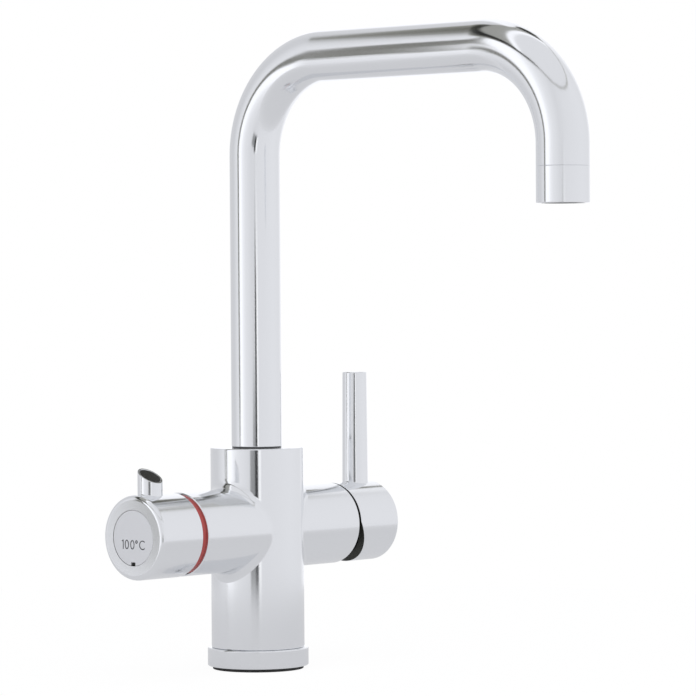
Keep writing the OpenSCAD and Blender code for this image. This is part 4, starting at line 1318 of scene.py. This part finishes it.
def lamp(name, spot, target, size, power):
    """Soft square lamp that lights the tap without being mirrored in it."""
    data = bpy.data.lights.new(name, "AREA")
    data.size, data.energy = size, power
    made = bpy.data.objects.new(name, data)
    away = np.array(spot, dtype=float) - np.array(target, dtype=float)
    back = unit(away)
    right = unit(np.cross(UPWARD, back))
    turn = Matrix(np.stack([right, np.cross(back, right), back], axis=1)).to_4x4()
    made.matrix_world = Matrix.Translation(spot) @ turn
    made.visible_glossy = False
    bpy.context.scene.collection.objects.link(made)


class TAP_OT_stage(bpy.types.Operator):
    """Set the camera, the lamps, the studio and the floor"""

    bl_idname = "tap.stage"
    bl_label = "Stage"

    def execute(self, context):
        scene = context.scene
        scene.view_settings.view_transform = "Standard"

        data = bpy.data.cameras.new("photo_camera")
        data.sensor_fit, data.sensor_width = "HORIZONTAL", 36.0
        data.lens = FOCAL_PIXELS / FRAME_PIXELS * data.sensor_width
        data.clip_start, data.clip_end = 0.05, 50.0
        camera = bpy.data.objects.new("photo_camera", data)
        turn = np.stack([CAMERA_RIGHT, CAMERA_UP, np.negative(CAMERA_AHEAD)], axis=1)
        camera.matrix_world = Matrix.Translation(CAMERA_PLACE) @ Matrix(turn).to_4x4()
        scene.collection.objects.link(camera)
        scene.camera = camera

        scene.world = bpy.data.worlds.new("studio")
        scene.world.use_nodes = True
        board = Board(scene.world.node_tree)
        camera_ray = board.add("ShaderNodeLightPath")
        studio = board.glow(studio_light(board), kind="ShaderNodeBackground")
        white = board.glow((1, 1, 1, 1), kind="ShaderNodeBackground")
        seen = board.mixed(camera_ray, studio, white)
        board.add("ShaderNodeOutputWorld", {}, {"Surface": seen})

        for name, (tone, distance, outline) in SCREENS.items():
            screen(name, tone, distance, outline)
        lamp("soft_top", (-0.5, -0.5, 1.5), (0, 0, 0.1), 1.2, 4.0)

        t = full_turn()[:-1]
        rim = FLOOR_RADIUS * np.stack([np.cos(t), np.sin(t), 0 * t], axis=1)
        points = np.append(rim, [np.zeros(3)], axis=0)
        order = np.arange(len(t))
        faces = np.stack([order, np.roll(order, -1), np.full_like(order, len(t))], axis=1)
        mesh = bpy.data.meshes.new("floor")
        mesh.from_pydata(points, [], faces.tolist())
        floor = bpy.data.objects.new("floor", mesh)
        scene.collection.objects.link(floor)
        mesh.materials.append(material("worktop", worktop))
        return {"FINISHED"}


def worktop(board, colours):
    """Pale floor that keeps the tap's shadow: nearly white to the camera, greyer in a mirror."""
    rays = board.add("ShaderNodeLightPath").socket.node.outputs
    kinds = "Is Camera Ray", "Is Glossy Ray", "Is Transmission Ray"
    camera, mirror, through = (Wire(board, rays[kind]) for kind in kinds)
    tone = board.mottled(colours.floor, 0.98, board.speckle(4.0, 2.0))
    matt = board.add("ShaderNodeBsdfDiffuse", {}, {"Color": tone})
    white = board.glow((1, 1, 1, 1), 1.02)
    x, y, _ = board.parts("ShaderNodeSeparateXYZ", board.here())
    far = board.step(x * x + y * y, 0.05, 0.4)
    # Painted reflection: in mirrors the floor is a fixed glow, darker in the middle and paler
    # towards its rim.
    mirrored = board.glow(board.blend(far, (0.67, 0.672, 0.69), (0.8, 0.805, 0.825)))
    seen = board.mixed(0.93 * camera, matt, white)
    return board.mixed(0.85 * (mirror + through), seen, mirrored)


class TAP_PT_tap(bpy.types.Panel):
    """Sizes, colours and makers of the tap"""

    bl_label = "Boiling water tap"
    bl_space_type = "VIEW_3D"
    bl_region_type = "UI"
    bl_category = "Tap"

    def draw(self, context):
        for group in (*SIZES, "tap_colours"):
            box = self.layout.box()
            values = getattr(context.scene, group)
            for key in values.bl_rna.properties.keys():
                if key not in {"rna_type", "name"}:
                    box.prop(values, key)
        for maker in MAKERS:
            self.layout.operator(maker.bl_idname)


SIZES = {
    "tap_body": TapBodySizes,
    "tap_spout": TapSpoutSizes,
    "tap_knob": TapKnobSizes,
    "tap_mixer": TapMixerSizes,
}
MAKERS = (
    TAP_OT_body,
    TAP_OT_spout,
    TAP_OT_boiling_knob,
    TAP_OT_mixer_handle,
    TAP_OT_inner_finishes,
    TAP_OT_stage,
)
GROUPS = {**SIZES, "tap_colours": TapColours}


def register():
    for kind in (*GROUPS.values(), *MAKERS, TAP_PT_tap):
        bpy.utils.register_class(kind)
    for name, kind in GROUPS.items():
        setattr(bpy.types.Scene, name, bpy.props.PointerProperty(type=kind))


def unregister():
    for name in GROUPS:
        delattr(bpy.types.Scene, name)
    for kind in reversed((*GROUPS.values(), *MAKERS, TAP_PT_tap)):
        bpy.utils.unregister_class(kind)


def main():
    register()
    bpy.ops.tap.stage()
    bpy.ops.tap.body()
    bpy.ops.tap.spout()
    bpy.ops.tap.boiling_knob()
    bpy.ops.tap.mixer_handle()
    bpy.ops.tap.inner_finishes()


if __name__ == "__main__":
    main()
